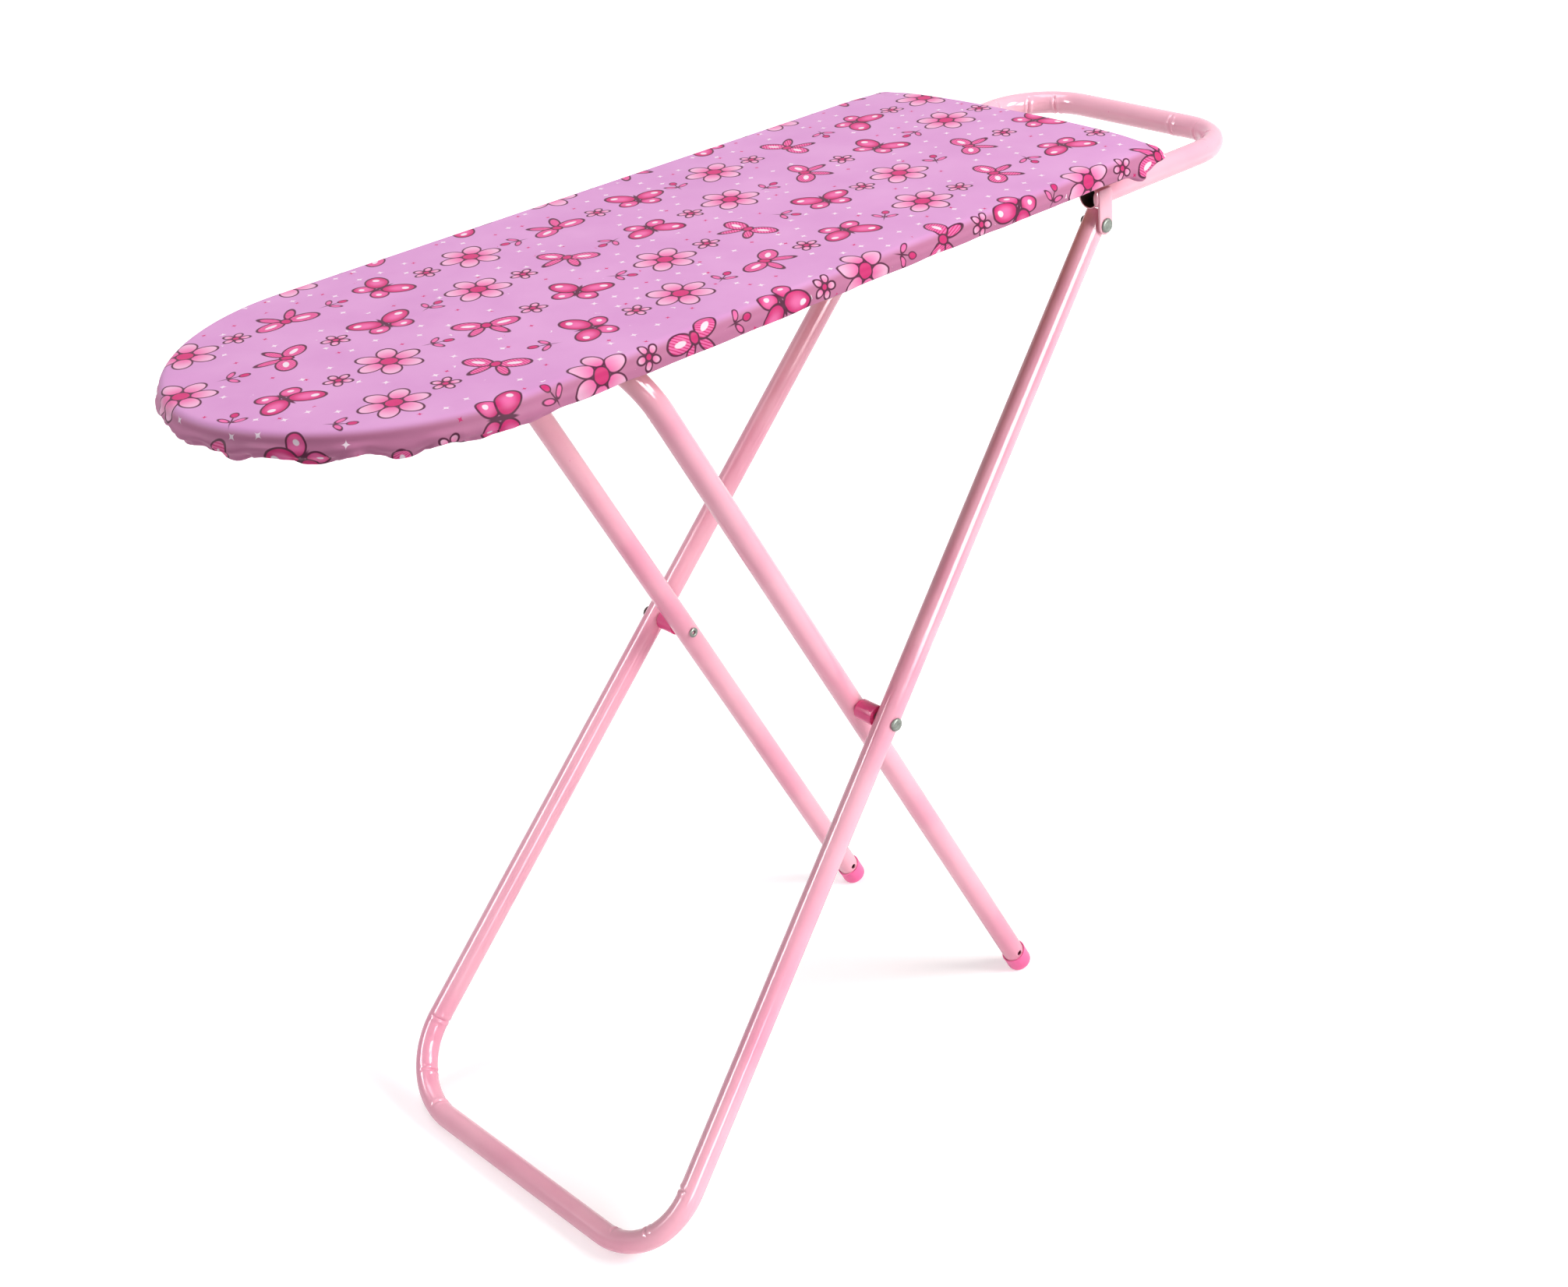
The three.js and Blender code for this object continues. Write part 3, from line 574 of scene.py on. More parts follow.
def grid_faces(rows, columns, close_rows=False):
    """Quads between neighbouring points of rings of columns points each, and from the last ring to the
    first where close_rows is set."""
    row = np.arange(rows if close_rows else rows - 1)[:, None]
    column = np.arange(columns)[None, :]
    next_row, next_column = (row + 1) % rows, (column + 1) % columns
    corners = [row * columns + column, row * columns + next_column]
    corners += [next_row * columns + next_column, next_row * columns + column]
    return np.stack(corners, axis=-1).reshape(-1, 4)


def add_object(name, data):
    """A new object in the scene."""
    holder = bpy.data.objects.new(name, data)
    bpy.context.scene.collection.objects.link(holder)
    return holder


def make_piece(name, rings, inks, maps=None, close_rows=False, sharp=HARD_EDGE, seams=None):
    """A mesh piece from rings of points, with its materials and UV maps of the points. The seams say which
    material each face takes."""
    mesh = bpy.data.meshes.new(name)
    faces = grid_faces(*rings.shape[:2], close_rows)
    mesh.from_pydata(rings.reshape(-1, 3).tolist(), [], faces.tolist())
    corner_points = np.empty(len(mesh.loops), np.int32)
    mesh.loops.foreach_get("vertex_index", corner_points)
    for label, values in (maps or {}).items():
        layer = mesh.uv_layers.new(name=label)
        layer.uv.foreach_set("vector", np.asarray(values, float).reshape(-1, 2)[corner_points].ravel())
    piece = add_object(name, mesh)
    for ink in inks:
        mesh.materials.append(ink)
    if seams is not None:
        mesh.polygons.foreach_set("material_index", np.asarray(seams, np.int32))
    edit = bmesh.new()
    edit.from_mesh(mesh)
    bmesh.ops.remove_doubles(edit, verts=edit.verts, dist=1e-7)
    bmesh.ops.dissolve_degenerate(edit, edges=edit.edges, dist=1e-8)
    bmesh.ops.recalc_face_normals(edit, faces=edit.faces)
    if edit.calc_volume(signed=True) < 0:
        bmesh.ops.reverse_faces(edit, faces=edit.faces)
    finish_mesh(edit, mesh, sharp)
    return piece


def finish_mesh(edit, mesh, sharp):
    """Puts an edited mesh back, smooth but for its hard edges."""
    edit.to_mesh(mesh)
    edit.free()
    shade(mesh, sharp)


def shade(mesh, sharp):
    mesh.shade_smooth()
    mesh.set_sharp_from_angle(angle=math.radians(sharp))


def cad_copy(name, node, ink, bevel):
    """A copy of a CAD node with its doubles merged and its edges softened by a bevel."""
    mesh = frame["nodes"][node].data.copy()
    mesh.name = name
    mesh.materials.clear()
    mesh.materials.append(ink)
    piece = add_object(name, mesh)
    edit = bmesh.new()
    edit.from_mesh(mesh)
    bmesh.ops.remove_doubles(edit, verts=edit.verts, dist=1e-6)
    bmesh.ops.dissolve_limit(edit, angle_limit=math.radians(1.0), verts=edit.verts, edges=edit.edges)
    bmesh.ops.recalc_face_normals(edit, faces=edit.faces)
    for face in edit.faces:
        face.material_index = 0
    finish_mesh(edit, mesh, 40.0)
    soften = piece.modifiers.new("soft_edges", "BEVEL")
    soften.width, soften.segments = bevel, 2
    soften.limit_method, soften.angle_limit = "ANGLE", math.radians(40.0)
    return piece


def drill_bit(centre, direction, radius, start, end, sides, up=(0, 0, 1)):
    """A closed cylinder from start to end along a direction."""
    profile = [(0, start), (radius, start), (radius, end), (0, end)]
    return make_piece("drill_bit", spun(profile, centre, direction, sides, up), [])


def drill(piece, cutters):
    """Cuts closed shapes out of a piece, and deletes them."""
    for cutter in cutters:
        cut = piece.modifiers.new("hole", "BOOLEAN")
        cut.operation, cut.solver, cut.object = "DIFFERENCE", "MANIFOLD", cutter
    bpy.context.view_layer.update()
    depsgraph = bpy.context.evaluated_depsgraph_get()
    evaluated = piece.evaluated_get(depsgraph)
    mesh = bpy.data.meshes.new_from_object(evaluated, preserve_all_data_layers=True, depsgraph=depsgraph)
    piece.modifiers.clear()
    piece.data = mesh
    for cutter in cutters:
        bpy.data.objects.remove(cutter)
    shade(mesh, HARD_EDGE)


def axes_along(direction, up):
    """Three unit vectors: across, up made square to direction, and direction."""
    along = Vector(direction).normalized()
    rise = (Vector(up) - along * along.dot(Vector(up))).normalized()
    return np.array(rise.cross(along)), np.array(rise), np.array(along)


def spun(profile, centre, direction, sides=48, up=(0, 0, 1)):
    """A surface of revolution: centre + height * direction + radius * (across cos a + up sin a)."""
    across, rise, along = axes_along(direction, up)
    profile = np.asarray(profile, float)
    angle = np.arange(sides) * TURN / sides
    spoke = np.cos(angle)[:, None] * across + np.sin(angle)[:, None] * rise
    return np.array(centre) + profile[:, 1, None, None] * along + profile[:, 0, None, None] * spoke


def with_height(plan, height):
    """Points from their X and Y and their heights."""
    return np.concatenate([plan, height[..., None]], axis=2)


def rounded(corners, steps=4):
    """A profile from (radius, height, round) rows. A rounded corner becomes a quadratic curve
    (1 - t)^2 start + 2t(1 - t) corner + t^2 end between points that far back along its two sides."""
    corners = np.asarray(corners, float)
    out = []
    for i, (x, y, size) in enumerate(corners):
        here = np.array((x, y))
        if size <= 0:
            out.append(here)
            continue
        back, ahead = corners[i - 1, :2] - here, corners[i + 1, :2] - here
        start = here + back / np.linalg.norm(back) * size
        end = here + ahead / np.linalg.norm(ahead) * size
        for t in np.linspace(0, 1, steps + 1):
            out.append((1 - t) ** 2 * start + 2 * t * (1 - t) * here + t**2 * end)
    return np.array(out)


# ------------------------------
# Bent tubes


def unit(vector):
    return vector / np.linalg.norm(vector)


def bent_line(corners, bend_radius):
    """The runs of a line of straights joined by arcs of one radius, and each bend's first and last distance.
    A run is (first distance, last distance, start, direction, inward direction, radius or None)."""
    runs, bends = [], []
    here, travelled = corners[0], 0.0
    for before, corner, after in zip(corners, corners[1:], corners[2:]):
        into, out = unit(corner - before), unit(after - corner)
        turn = math.acos(np.dot(into, out))
        start = corner - into * bend_radius * math.tan(turn / 2)
        run = np.linalg.norm(start - here)
        runs.append((travelled, travelled + run, here, into, into, None))
        inward = unit(out - into * np.dot(into, out))
        travelled += run
        bends.append((travelled, travelled + turn * bend_radius))
        runs.append((*bends[-1], start, into, inward, bend_radius))
        travelled += turn * bend_radius
        here = start + bend_radius * (into * math.sin(turn) + inward * (1 - math.cos(turn)))
    run = np.linalg.norm(corners[-1] - here)
    runs.append((travelled, travelled + run, here, (corners[-1] - here) / run, None, None))
    return runs, bends


def along_line(runs, distance):
    """Points and tangents at the given distances: start + s * direction on a straight, and
    start + radius * (direction * sin(s / radius) + inward * (1 - cos(s / radius))) on an arc."""
    points, tangents = np.empty((len(distance), 3)), np.empty((len(distance), 3))
    for first, last, start, direction, inward, radius in runs:
        here = (distance >= first - 1e-9) & (distance <= last + 1e-9)
        step = (distance[here] - first)[:, None]
        if radius is None:
            points[here] = start + step * direction
            tangents[here] = direction
        else:
            swing = step / radius
            points[here] = start + radius * (direction * np.sin(swing) + inward * (1 - np.cos(swing)))
            tangents[here] = direction * np.cos(swing) + inward * np.sin(swing)
    return points, tangents


STRAIGHT_STEP, BEND_STEP, DENT_STEP, LEAST_STEP = 0.008, 0.0016, 0.00026, 0.00012
DENT_REACH = 0.005  # how far the close rings go on both sides of a dent
DENT_WIDTH, LIP_WIDTH, LIP_AWAY = 0.0006, 0.0011, 0.0019
FLATTENING, FLAT_FADE = 0.00035, 0.012  # of a bend, and the stretch over which it starts and ends


def stations(total, bends, marks):
    """Distances for the rings of a tube: far apart on the straights, closer in the bends and closest at
    the dents."""
    spread = [np.linspace(0, total, max(2, round(total / STRAIGHT_STEP)))]
    spread += [np.arange(start, end, BEND_STEP) for start, end in bends]
    spread += [np.arange(mark - DENT_REACH, mark + DENT_REACH, DENT_STEP) for mark in marks]
    distance = np.unique(np.concatenate(spread).clip(0, total))
    keep = np.concatenate([[True], np.diff(distance) > LEAST_STEP])
    keep[-1] = True
    return distance[keep]


def dented_radius(sizes, distance, angle, bends, marks, seed):
    """The tube's radius by distance and angle. Each dent takes depth * exp(-(away / width)^2) off it on the
    inner side of the bend, and part of that stands up again on both sides; each bend is flattened too."""
    radius = np.full((len(distance), sizes.sides), sizes.diameter / 2)
    random = np.random.default_rng(seed)
    for mark in marks:
        lean = random.uniform(-0.5, 0.5)
        depth = sizes.crease_depth * random.uniform(0.7, 1.15)
        skew = random.uniform(-0.0012, 0.0012)
        side = np.clip(np.cos(angle - lean), 0, 1) ** 0.8
        away = distance[:, None] - mark - skew * np.sin(angle)
        lips = 0.4 * bell(np.abs(away) - LIP_AWAY, LIP_WIDTH)
        radius += depth * side * (lips - bell(away, DENT_WIDTH))
    for start, end in bends:
        from_start, to_end = (distance - start) / FLAT_FADE, (end - distance) / FLAT_FADE
        inside = np.clip(from_start, 0, 1) * np.clip(to_end, 0, 1)
        radius -= inside[:, None] * FLATTENING * np.cos(angle) ** 2
    return radius


def bent_tube(name, corners, bend_radius, offsets, sizes, seed):
    """A bent tube with its wall and open ends, as one closed surface: out along the outside, round the lip,
    back along the inside and round the other lip. The offsets say how far the dents lie from the outer end
    of each of the two big bends."""
    corners = np.array(corners)
    runs, bends = bent_line(corners, bend_radius)
    marks = [bends[0][0] + offset for offset in offsets[0]] + [bends[1][1] - offset for offset in offsets[1]]
    distance = stations(runs[-1][1], bends, marks)
    line, tangent = along_line(runs, distance)
    normal = unit(np.cross(corners[1] - corners[0], corners[2] - corners[1]))
    angle = np.arange(sizes.sides) * TURN / sizes.sides
    inward = np.cross(normal, tangent)[:, None]
    spoke = np.cos(angle)[:, None] * inward + np.sin(angle)[:, None] * normal
    radius = dented_radius(sizes, distance, angle, bends, marks, seed)[..., None]
    wall = sizes.wall
    outer, inner = line[:, None] + radius * spoke, line[:, None] + (radius - wall) * spoke
    swing = np.linspace(0, math.pi, 7)[1:-1, None, None]
    lips = []
    for row, forward in ((-1, 1), (0, -1)):
        ring = line[row] + (radius[row] - wall / 2 + wall / 2 * np.cos(swing)) * spoke[row]
        lips.append((ring + wall / 2 * np.sin(swing) * tangent[row] * forward)[::forward])
    rings = np.concatenate([outer, lips[0], inner[::-1], lips[1]])
    face_ring = np.repeat(np.arange(len(rings)), sizes.sides)
    unpainted = (face_ring > len(outer) + 3) & (face_ring < len(outer) + len(lips[0]) + len(inner))
    # The inside faces take the bare steel, painted near-black as the shade in the bore.
    inks = [bpy.data.materials[ink] for ink in ("pink_enamel", "tube_inside_shade")]
    return make_piece(name, rings, inks, close_rows=True, seams=unpainted, sharp=60.0)


# ------------------------------
# The board's outline and the cover's section


def smooth_step(value, low, high):
    """0 below low, 1 above high, and 3t^2 - 2t^3 between them."""
    t = np.clip((value - low) / (high - low), 0, 1)
    return t * t * (3 - 2 * t)


def outline(sizes, count):
    """Points and outward normals evenly spaced along the cover's outline: straight sides, a superellipse
    nose |x / length|^n + |y / half|^n = 1, two small round corners at the square end, and an end that
    stands out in its middle by bulge * (1 - (y / half)^2). With them come the distances along it."""
    half, end = sizes.cover_width / 2, sizes.square_end
    start = end - sizes.cover_length + sizes.nose_length
    angle = np.linspace(-QUARTER, QUARTER, 400)
    power = 2 / sizes.nose_fullness
    nose_x = start - sizes.nose_length * np.cos(angle).clip(0) ** power
    nose = np.stack([nose_x, half * signed_power(np.sin(angle), power)], axis=1)
    turn = np.linspace(0, QUARTER, 12)
    small = sizes.corner_radius
    corner = np.stack([end - small + small * np.sin(turn), half - small + small * np.cos(turn)], axis=1)
    tip = [(start - sizes.nose_length, 0)]
    loop = np.concatenate([tip, nose[nose[:, 1] > 1e-9], corner, [(end, 0)]])
    walked = np.concatenate([[0], np.cumsum(np.linalg.norm(np.diff(loop, axis=0), axis=1))])
    at = np.linspace(0, walked[-1], count // 2 + 1)
    upper = np.stack([np.interp(at, walked, loop[:, axis]) for axis in (0, 1)], axis=1)
    points = np.concatenate([upper, (upper * (1, -1))[-2:0:-1]])
    squared = points[:, 0] > end - small
    points[squared, 0] += sizes.end_bulge * (1 - (points[squared, 1] / half) ** 2)
    ahead = np.roll(points, -1, axis=0) - np.roll(points, 1, axis=0)
    ahead /= np.linalg.norm(ahead, axis=1, keepdims=True)
    normals = np.stack([-ahead[:, 1], ahead[:, 0]], axis=1)
    total = 2 * walked[-1]
    return points, normals, np.arange(count) * total / count, total


def signed_power(value, power):
    return np.sign(value) * np.abs(value) ** power


def waves(at, total, lengths, seed):
    """A periodic sum of sines round the outline with wavelengths near the given ones, from -1 to 1."""
    random = np.random.default_rng(seed)
    height = np.zeros_like(at)
    for size in lengths:
        for spread in (0.86, 1.0, 1.17):
            turns = max(1, round(total / (size * spread)))
            height += random.uniform(0.6, 1.0) * np.sin(TURN * turns * at / total + random.uniform(0, TURN))
    return height / np.abs(height).max()


def spine_of(sizes, points):
    """The nearest point to each outline point on the board's middle line."""
    half = sizes.cover_width / 2
    low = sizes.square_end - sizes.cover_length + half
    return np.stack([np.clip(points[:, 0], low, sizes.square_end - half), np.zeros(len(points))], axis=1)


def end_lift(board, place):
    """How much the cloth's top stands up near the square end: a dome in the middle of the end, less a drop
    at each of the two corners. Both fall off as exp(-(distance / width)^2)."""
    half = board.cover_width / 2
    to_end = board.square_end - place[..., 0]
    away = np.hypot(to_end, half - np.abs(place[..., 1]))
    dome = board.end_dome * (1 - np.abs(place[..., 1] / half) ** 3) * bell(to_end, 0.06)
    return dome - board.corner_drop * bell(away, 0.018)


def flap_drop(to_end):
    """How far the side band's lower edge hangs (or, below 0, is drawn up) near the square end: a small flap
    over the rest tube, a lifted stretch over the tube's open end, and a pointed corner."""
    marks = [-0.001, 0.0, 0.006, 0.010, 0.0145, 0.0175, 0.021, 0.025, 0.029, 0.047, 0.058, 0.08]
    drops = [-0.0040, -0.0034, -0.0004, 0.0018, 0.0040, 0.0046, 0.0040, 0.0014, 0.0002, -0.0002, 0.0, 0.0]
    return np.interp(to_end, marks, drops)


def end_share(board, points):
    """1 at the square end and 0 away from it."""
    return smooth_step(points[:, 0] - board.square_end, -0.012, -0.001)


def hem_inset(board, points):
    """How far the hem reaches in: less at the square end."""
    return board.hem_width + (board.hem_end_width - board.hem_width) * end_share(board, points)


SLACK = 0.0002  # how far the cloth's top lies under the highest point of its waves
CROWN = 0.0004  # how much lower the rim lies than the middle
SOFT_WAVES, PUCKER = 0.00022, 0.0003  # heights of the waves in the top and of the puckers at its rim
BELLY, NOSE_BELLY = 0.0006, 0.0008  # how far the side band stands out, and how much more round the nose
NOSE_TUCK, CREASE_TUCK = 0.0030, 0.0024  # how far the band's foot turns in
LOBE = 0.0020  # how far the small flap over the rest tube stands out
LOBE_AT, CREASE_AT = (0.0180, 0.0042), (0.0120, 0.0022)  # distance from the square end, and width
FRILL = 0.0013  # height of the waves in the hem


def cover_rings(board):
    """Rings of the cover from its middle line out over the edge and under the board, and two maps of it.

    Ring j of the top is spine + share * (outline - spine). The side band then follows a rounded edge, a wall
    that the gathers push out by depth * wave, and a hem that turns in and waves up and down."""
    points, normals, at, total = outline(board, 720)
    spine = spine_of(board, points)
    x, across = points[:, 0], np.abs(points[:, 1])
    half, edge, low = board.cover_width / 2, board.edge_round, board.hem_round
    to_corner, to_end = (x + across).max() - x - across, board.square_end - x
    tip = bell(to_corner, 0.007)
    nose_start = board.square_end - board.cover_length + board.nose_length
    on_nose = smooth_step(-x, -nose_start - 0.035, -nose_start + 0.045)
    on_end = end_share(board, points)
    on_side = smooth_step(across, 0.09, half - 0.001)
    at_corner = bell(to_end, 0.02) * smooth_step(across, half - 0.03, half)
    pull = 0.10 + 0.9 * on_nose + 0.35 * on_end + 0.5 * at_corner
    fold, ripple = waves(at, total, (0.021, 0.034), 5), waves(at, total, (0.009, 0.013), 9)
    scallop = np.tanh(2.2 * waves(at, total, (0.034, 0.041), 12))
    wave = 0.75 * fold + 0.35 * ripple
    drawn = 0.45 + 0.55 * smooth_step(-points[:, 1], -0.045, 0.03)
    droop = board.nose_hang * on_nose * (0.8 + 0.75 * scallop) * drawn + 0.0002 * scallop
    droop += board.side_hang * (1 - on_nose) * smooth_step(to_end, 0.16, 0.34)
    bottom = board.hem_height - droop - flap_drop(to_end) * on_side
    # Top: rings from the middle line to the start of the round edge
    top_z = board.cover_top - SLACK
    share = np.linspace(0, 1, 31)[:-1, None]
    rim = points - normals * edge
    top = spine[None] + share[..., None] * (rim - spine)[None]
    calm = 1 - smooth_step(share, 0.75, 1.0)
    along, over = top[..., 0], top[..., 1]
    soft = np.sin(along * 74 + 1.0) * np.sin(over * 61 + 0.4) + 0.6 * np.sin(along * 151 + over * 97 + 2.0)
    pucker = PUCKER * (1 - calm) * (wave * pull)[None]
    height = top_z - CROWN * share**2 + SOFT_WAVES * soft * calm - pucker + end_lift(board, top)
    rings, flat, hem_map = [with_height(top, height)], [top], [np.ones(height.shape)]
    # Round edge, wall, lower round and hem, as inset and height per ring
    rim_z = top_z - CROWN + end_lift(board, points)
    insets, heights = [], []
    for swing in np.linspace(0, QUARTER, 8):
        turned = swing / QUARTER
        insets.append(edge * (1 - math.sin(swing)) - board.corner_point * tip * turned)
        hang = board.corner_tip * tip * max(0.0, turned - 0.4) / 0.6
        heights.append(rim_z - edge * (1 - math.cos(swing)) - hang)
    wall_top = rim_z - edge - board.corner_tip * tip
    wall_bottom = np.minimum(bottom + low, wall_top - 0.0006)
    lobe, crease = (bell(to_end - at, width) * on_side for at, width in (LOBE_AT, CREASE_AT))
    for down in np.linspace(0, 1, 9)[1:]:
        belly = (BELLY + NOSE_BELLY * on_nose) * math.sin(math.pi * down) ** 2
        tuck = NOSE_TUCK * on_nose * down**3 + CREASE_TUCK * crease * down**1.5
        point = board.corner_point * tip * (1 + 0.3 * down - 1.4 * down**2)
        fold_out = board.gather_depth * np.clip(wave + 0.45, 0, None) * pull * down**1.8
        height = wall_top + (wall_bottom - wall_top) * down
        clear = 0.0055 * smooth_step(board.hem_height + 0.0006 - height, 0.0, 0.003)
        insets.append(np.minimum(tuck, clear) - point - fold_out - belly - LOBE * lobe * down**1.5)
        heights.append(height)
    foot_inset = insets[-1]
    for swing in np.linspace(0, QUARTER, 6)[1:]:
        insets.append(foot_inset + low * (1 - math.cos(swing)))
        heights.append(wall_bottom - low * math.sin(swing))
    hem, hem_start, hem_floor = hem_inset(board, points), insets[-1], heights[-1]
    frill = FRILL * np.clip(0.2 + pull, 0, 1) * (0.5 + 0.5 * ripple)
    for inward in np.linspace(0, 1, 13)[1:]:
        insets.append(hem_start + (hem - hem_start) * inward)
        level = hem_floor + (board.hem_height - hem_floor) * smooth_step(inward, 0.0, 0.7)
        heights.append(level - frill * math.sin(math.pi * inward) ** 0.8 * (0.4 + 0.6 * inward))
    insets, heights = np.array(insets), np.array(heights)
    rings.append(with_height(points[None] - normals[None] * insets[..., None], heights))
    steps = np.hypot(np.diff(insets, axis=0), np.diff(heights, axis=0))
    run = np.concatenate([np.zeros((1, len(x))), np.cumsum(steps, axis=0)])
    flat.append(rim[None] + normals[None] * run[..., None])
    hem_map.append(run[-1][None] - run)
    to_hem = np.concatenate(hem_map)
    maps = {
        "cloth": np.concatenate(flat),
        "hem": np.stack(np.broadcast_arrays(at[None], to_hem), axis=2),
    }
    return np.concatenate(rings), maps


# ------------------------------
# The board's pieces


class Operation(Operator):
    """What the operators share: the scene's sizes and colours."""

    bl_options = {"REGISTER", "UNDO"}

    def execute(self, context):
        self.build(*(getattr(context.scene, group) for group in GROUPS))
        return {"FINISHED"}


def place(piece, body, slot, *nodes):
    """Lets a piece ride on a body and stand for CAD nodes, which it hides. The slot is not used."""
    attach(piece, body)
    if nodes:
        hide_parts(*nodes)


UNDER_COVER = 0.0003  # how far the foam stays inside the cover
ACCESS_HOLE = (0.0037, -0.01, 0)  # radius, start and end of the hole below a rest screw
CLEARANCE_HOLE = (0.0019, -0.001, 0.01)
FOOT_HOLE_REACH = 0.012


class TOYBOARD_OT_cover(Operation):
    """Fits the printed cover: a flat top, a soft edge, a side band and a hem gathered under the board"""

    bl_idname = "toyboard.cover"
    bl_label = "Printed cover"

    def build(self, board, tubes, fittings, colours):
        rings, maps = cover_rings(board)
        piece = make_piece("fitted_cover", rings, [printed_cloth(colours)], maps, sharp=NO_EDGE)
        thicken = piece.modifiers.new("cloth_thickness", "SOLIDIFY")
        thicken.thickness, thicken.offset = board.cloth_thickness, -1.0
        place(piece, "board", "cover_cloth", "fabric_cover")


class TOYBOARD_OT_foam(Operation):
    """Lays the thin foam between the board and the cover"""

    bl_idname = "toyboard.foam"
    bl_label = "Foam pad"

    def build(self, board, tubes, fittings, colours):
        points, normals, _, _ = outline(board, 480)
        spine = spine_of(board, points)
        edge = board.pad_top - board.pad_bottom
        rim = points - normals * (board.cloth_thickness + UNDER_COVER + edge)
        sheet = spine[None] + np.linspace(0, 1, 16)[:-1, None, None] * (rim - spine)[None]
        quilt = 0.00012 * np.sin(sheet[..., 0] * 110) * np.sin(sheet[..., 1] * 130)
        top = with_height(sheet, board.pad_top - UNDER_COVER + quilt + end_lift(board, sheet))
        rise = edge - UNDER_COVER + end_lift(board, rim)
        swings = np.linspace(0, QUARTER, 6)
        rounds = [
            np.column_stack([rim + normals * edge * math.sin(a), board.pad_bottom + rise * math.cos(a)])
            for a in swings
        ]
        bottom = with_height(sheet, np.full(sheet.shape[:2], board.pad_bottom))[::-1]
        piece = make_piece("foam_layer", np.concatenate([top, rounds, bottom]), [open_foam(colours)])
        place(piece, "board", "foam", "foam_pad")


class TOYBOARD_OT_elastic(Operation):
    """Runs the gathered elastic along the hem's inner edge"""

    bl_idname = "toyboard.elastic"
    bl_label = "Hem elastic"

    def build(self, board, tubes, fittings, colours):
        points, normals, at, total = outline(board, 900)
        wrinkle, pinch = (waves(at, total, (0.0045, 0.007), seed)[:, None] for seed in (21, 22))
        half_width, half_thick = board.elastic_width / 2, board.elastic_thickness / 2
        angle = np.linspace(0, TURN, 14, endpoint=False)
        hem = hem_inset(board, points)[:, None]
        away = half_width * signed_power(np.cos(angle), 0.6) - (hem + half_width + 0.0002 * wrinkle)
        up = half_thick * signed_power(np.sin(angle), 0.6) * (1 + 0.14 * pinch)
        z = board.hem_height - half_thick + 0.0002 + 0.00025 * wrinkle + up
        rings = with_height(points[:, None] + normals[:, None] * away[..., None], z)
        ribs = np.stack(np.broadcast_arrays(at[:, None], angle * 0.0015), axis=2)
        ink = covered_elastic(colours)
        piece = make_piece("hem_band", rings, [ink], {"cloth": ribs}, close_rows=True)
        place(piece, "board", "elastic", "hem_elastic")


class TOYBOARD_OT_wood(Operation):
    """Cuts the hidden board and the batten that carries the rest"""

    bl_idname = "toyboard.wood"
    bl_label = "Board and batten"

    def build(self, board, tubes, fittings, colours):
        panel = cad_copy("pressed_panel", "board_panel", pressed_board(colours), 0.0003)
        place(panel, "board", "board_wood", "board_panel")
        batten = cad_copy("pine_batten", "end_batten", sawn_pine(colours), 0.0005)
        place(batten, "board", "batten_wood", "end_batten")


class TOYBOARD_OT_rest(Operation):
    """Bends the U-shaped rest and drills it for its two screws"""

    bl_idname = "toyboard.rest"
    bl_label = "Tube rest"

    def build(self, board, tubes, fittings, colours):
        out, skew = board.square_end + tubes.rest_reach, tubes.rest_skew
        tail, half, height = board.square_end - tubes.rest_tail, tubes.rest_half, tubes.rest_height
        plan = [(tail, -half), (out, -half), (out + skew, half + skew)]
        plan += [(board.square_end, half), (tail, half)]
        offsets = ((0.004, 0.024, 0.045, 0.066), (0.0, 0.024, 0.043))
        corners = [(x, y, height) for x, y in plan]
        rest = bent_tube("rest_loop", corners, tubes.rest_bend, offsets, tubes, 31)
        cutters = []
        for label in SIDES:
            low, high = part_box(f"rest_screw_{label}")
            middle = ((low[0] + high[0]) / 2, (low[1] + high[1]) / 2, height)
            for hole in (ACCESS_HOLE, CLEARANCE_HOLE):
                cutters.append(drill_bit(middle, (0, 0, 1), *hole, 32, up=(1, 0, 0)))
        drill(rest, cutters)
        place(rest, "board", "tube_paint", "rest_tube")


# ------------------------------
# The legs


CAP_FLOOR = 0.0027  # from a cap's closed end to the tube's end


def leg_plane(degrees, forward):
    """Unit vectors down a leg and square to its frame, from its slope and its direction along X."""
    angle = math.radians(degrees)
    down = np.array((forward * math.cos(angle), 0, -math.sin(angle)))
    square = np.array((math.sin(angle), 0, forward * math.cos(angle))) * forward
    return down, square


class TOYBOARD_OT_outer_legs(Operation):
    """Bends the outer frame with its ground bar"""

    bl_idname = "toyboard.outer_legs"
    bl_label = "Outer legs"

    def build(self, board, tubes, fittings, colours):
        down, _ = leg_plane(tubes.outer_angle, -1)
        slope = (tubes.outer_foot_half - tubes.outer_top_half) / tubes.outer_length
        top = np.array(HINGE) - down * tubes.outer_top
        bottom = np.array(HINGE) + down * tubes.outer_length
        top_side = ALONG_Y * (tubes.outer_top_half - slope * tubes.outer_top)
        foot_side = ALONG_Y * tubes.outer_foot_half
        corners = [top - top_side, bottom - foot_side, bottom + foot_side, top + top_side]
        dents = ((0.0, 0.034, 0.060),) * 2
        tube = bent_tube("outer_frame", corners, tubes.outer_bend, dents, tubes, 32)
        place(tube, "outer_legs", "tube_paint", "outer_leg_frame")


def cap_end_distance(tubes, fittings):
    """Distance from the scissor pivot to a cap's closed end, so that its rounded rim stands on the floor."""
    angle = math.radians(tubes.inner_angle)
    drop = (fittings.cap_radius - fittings.cap_round) * math.cos(angle) + fittings.cap_round
    return fittings.cap_round + (SCISSOR.z - drop) / math.sin(angle)


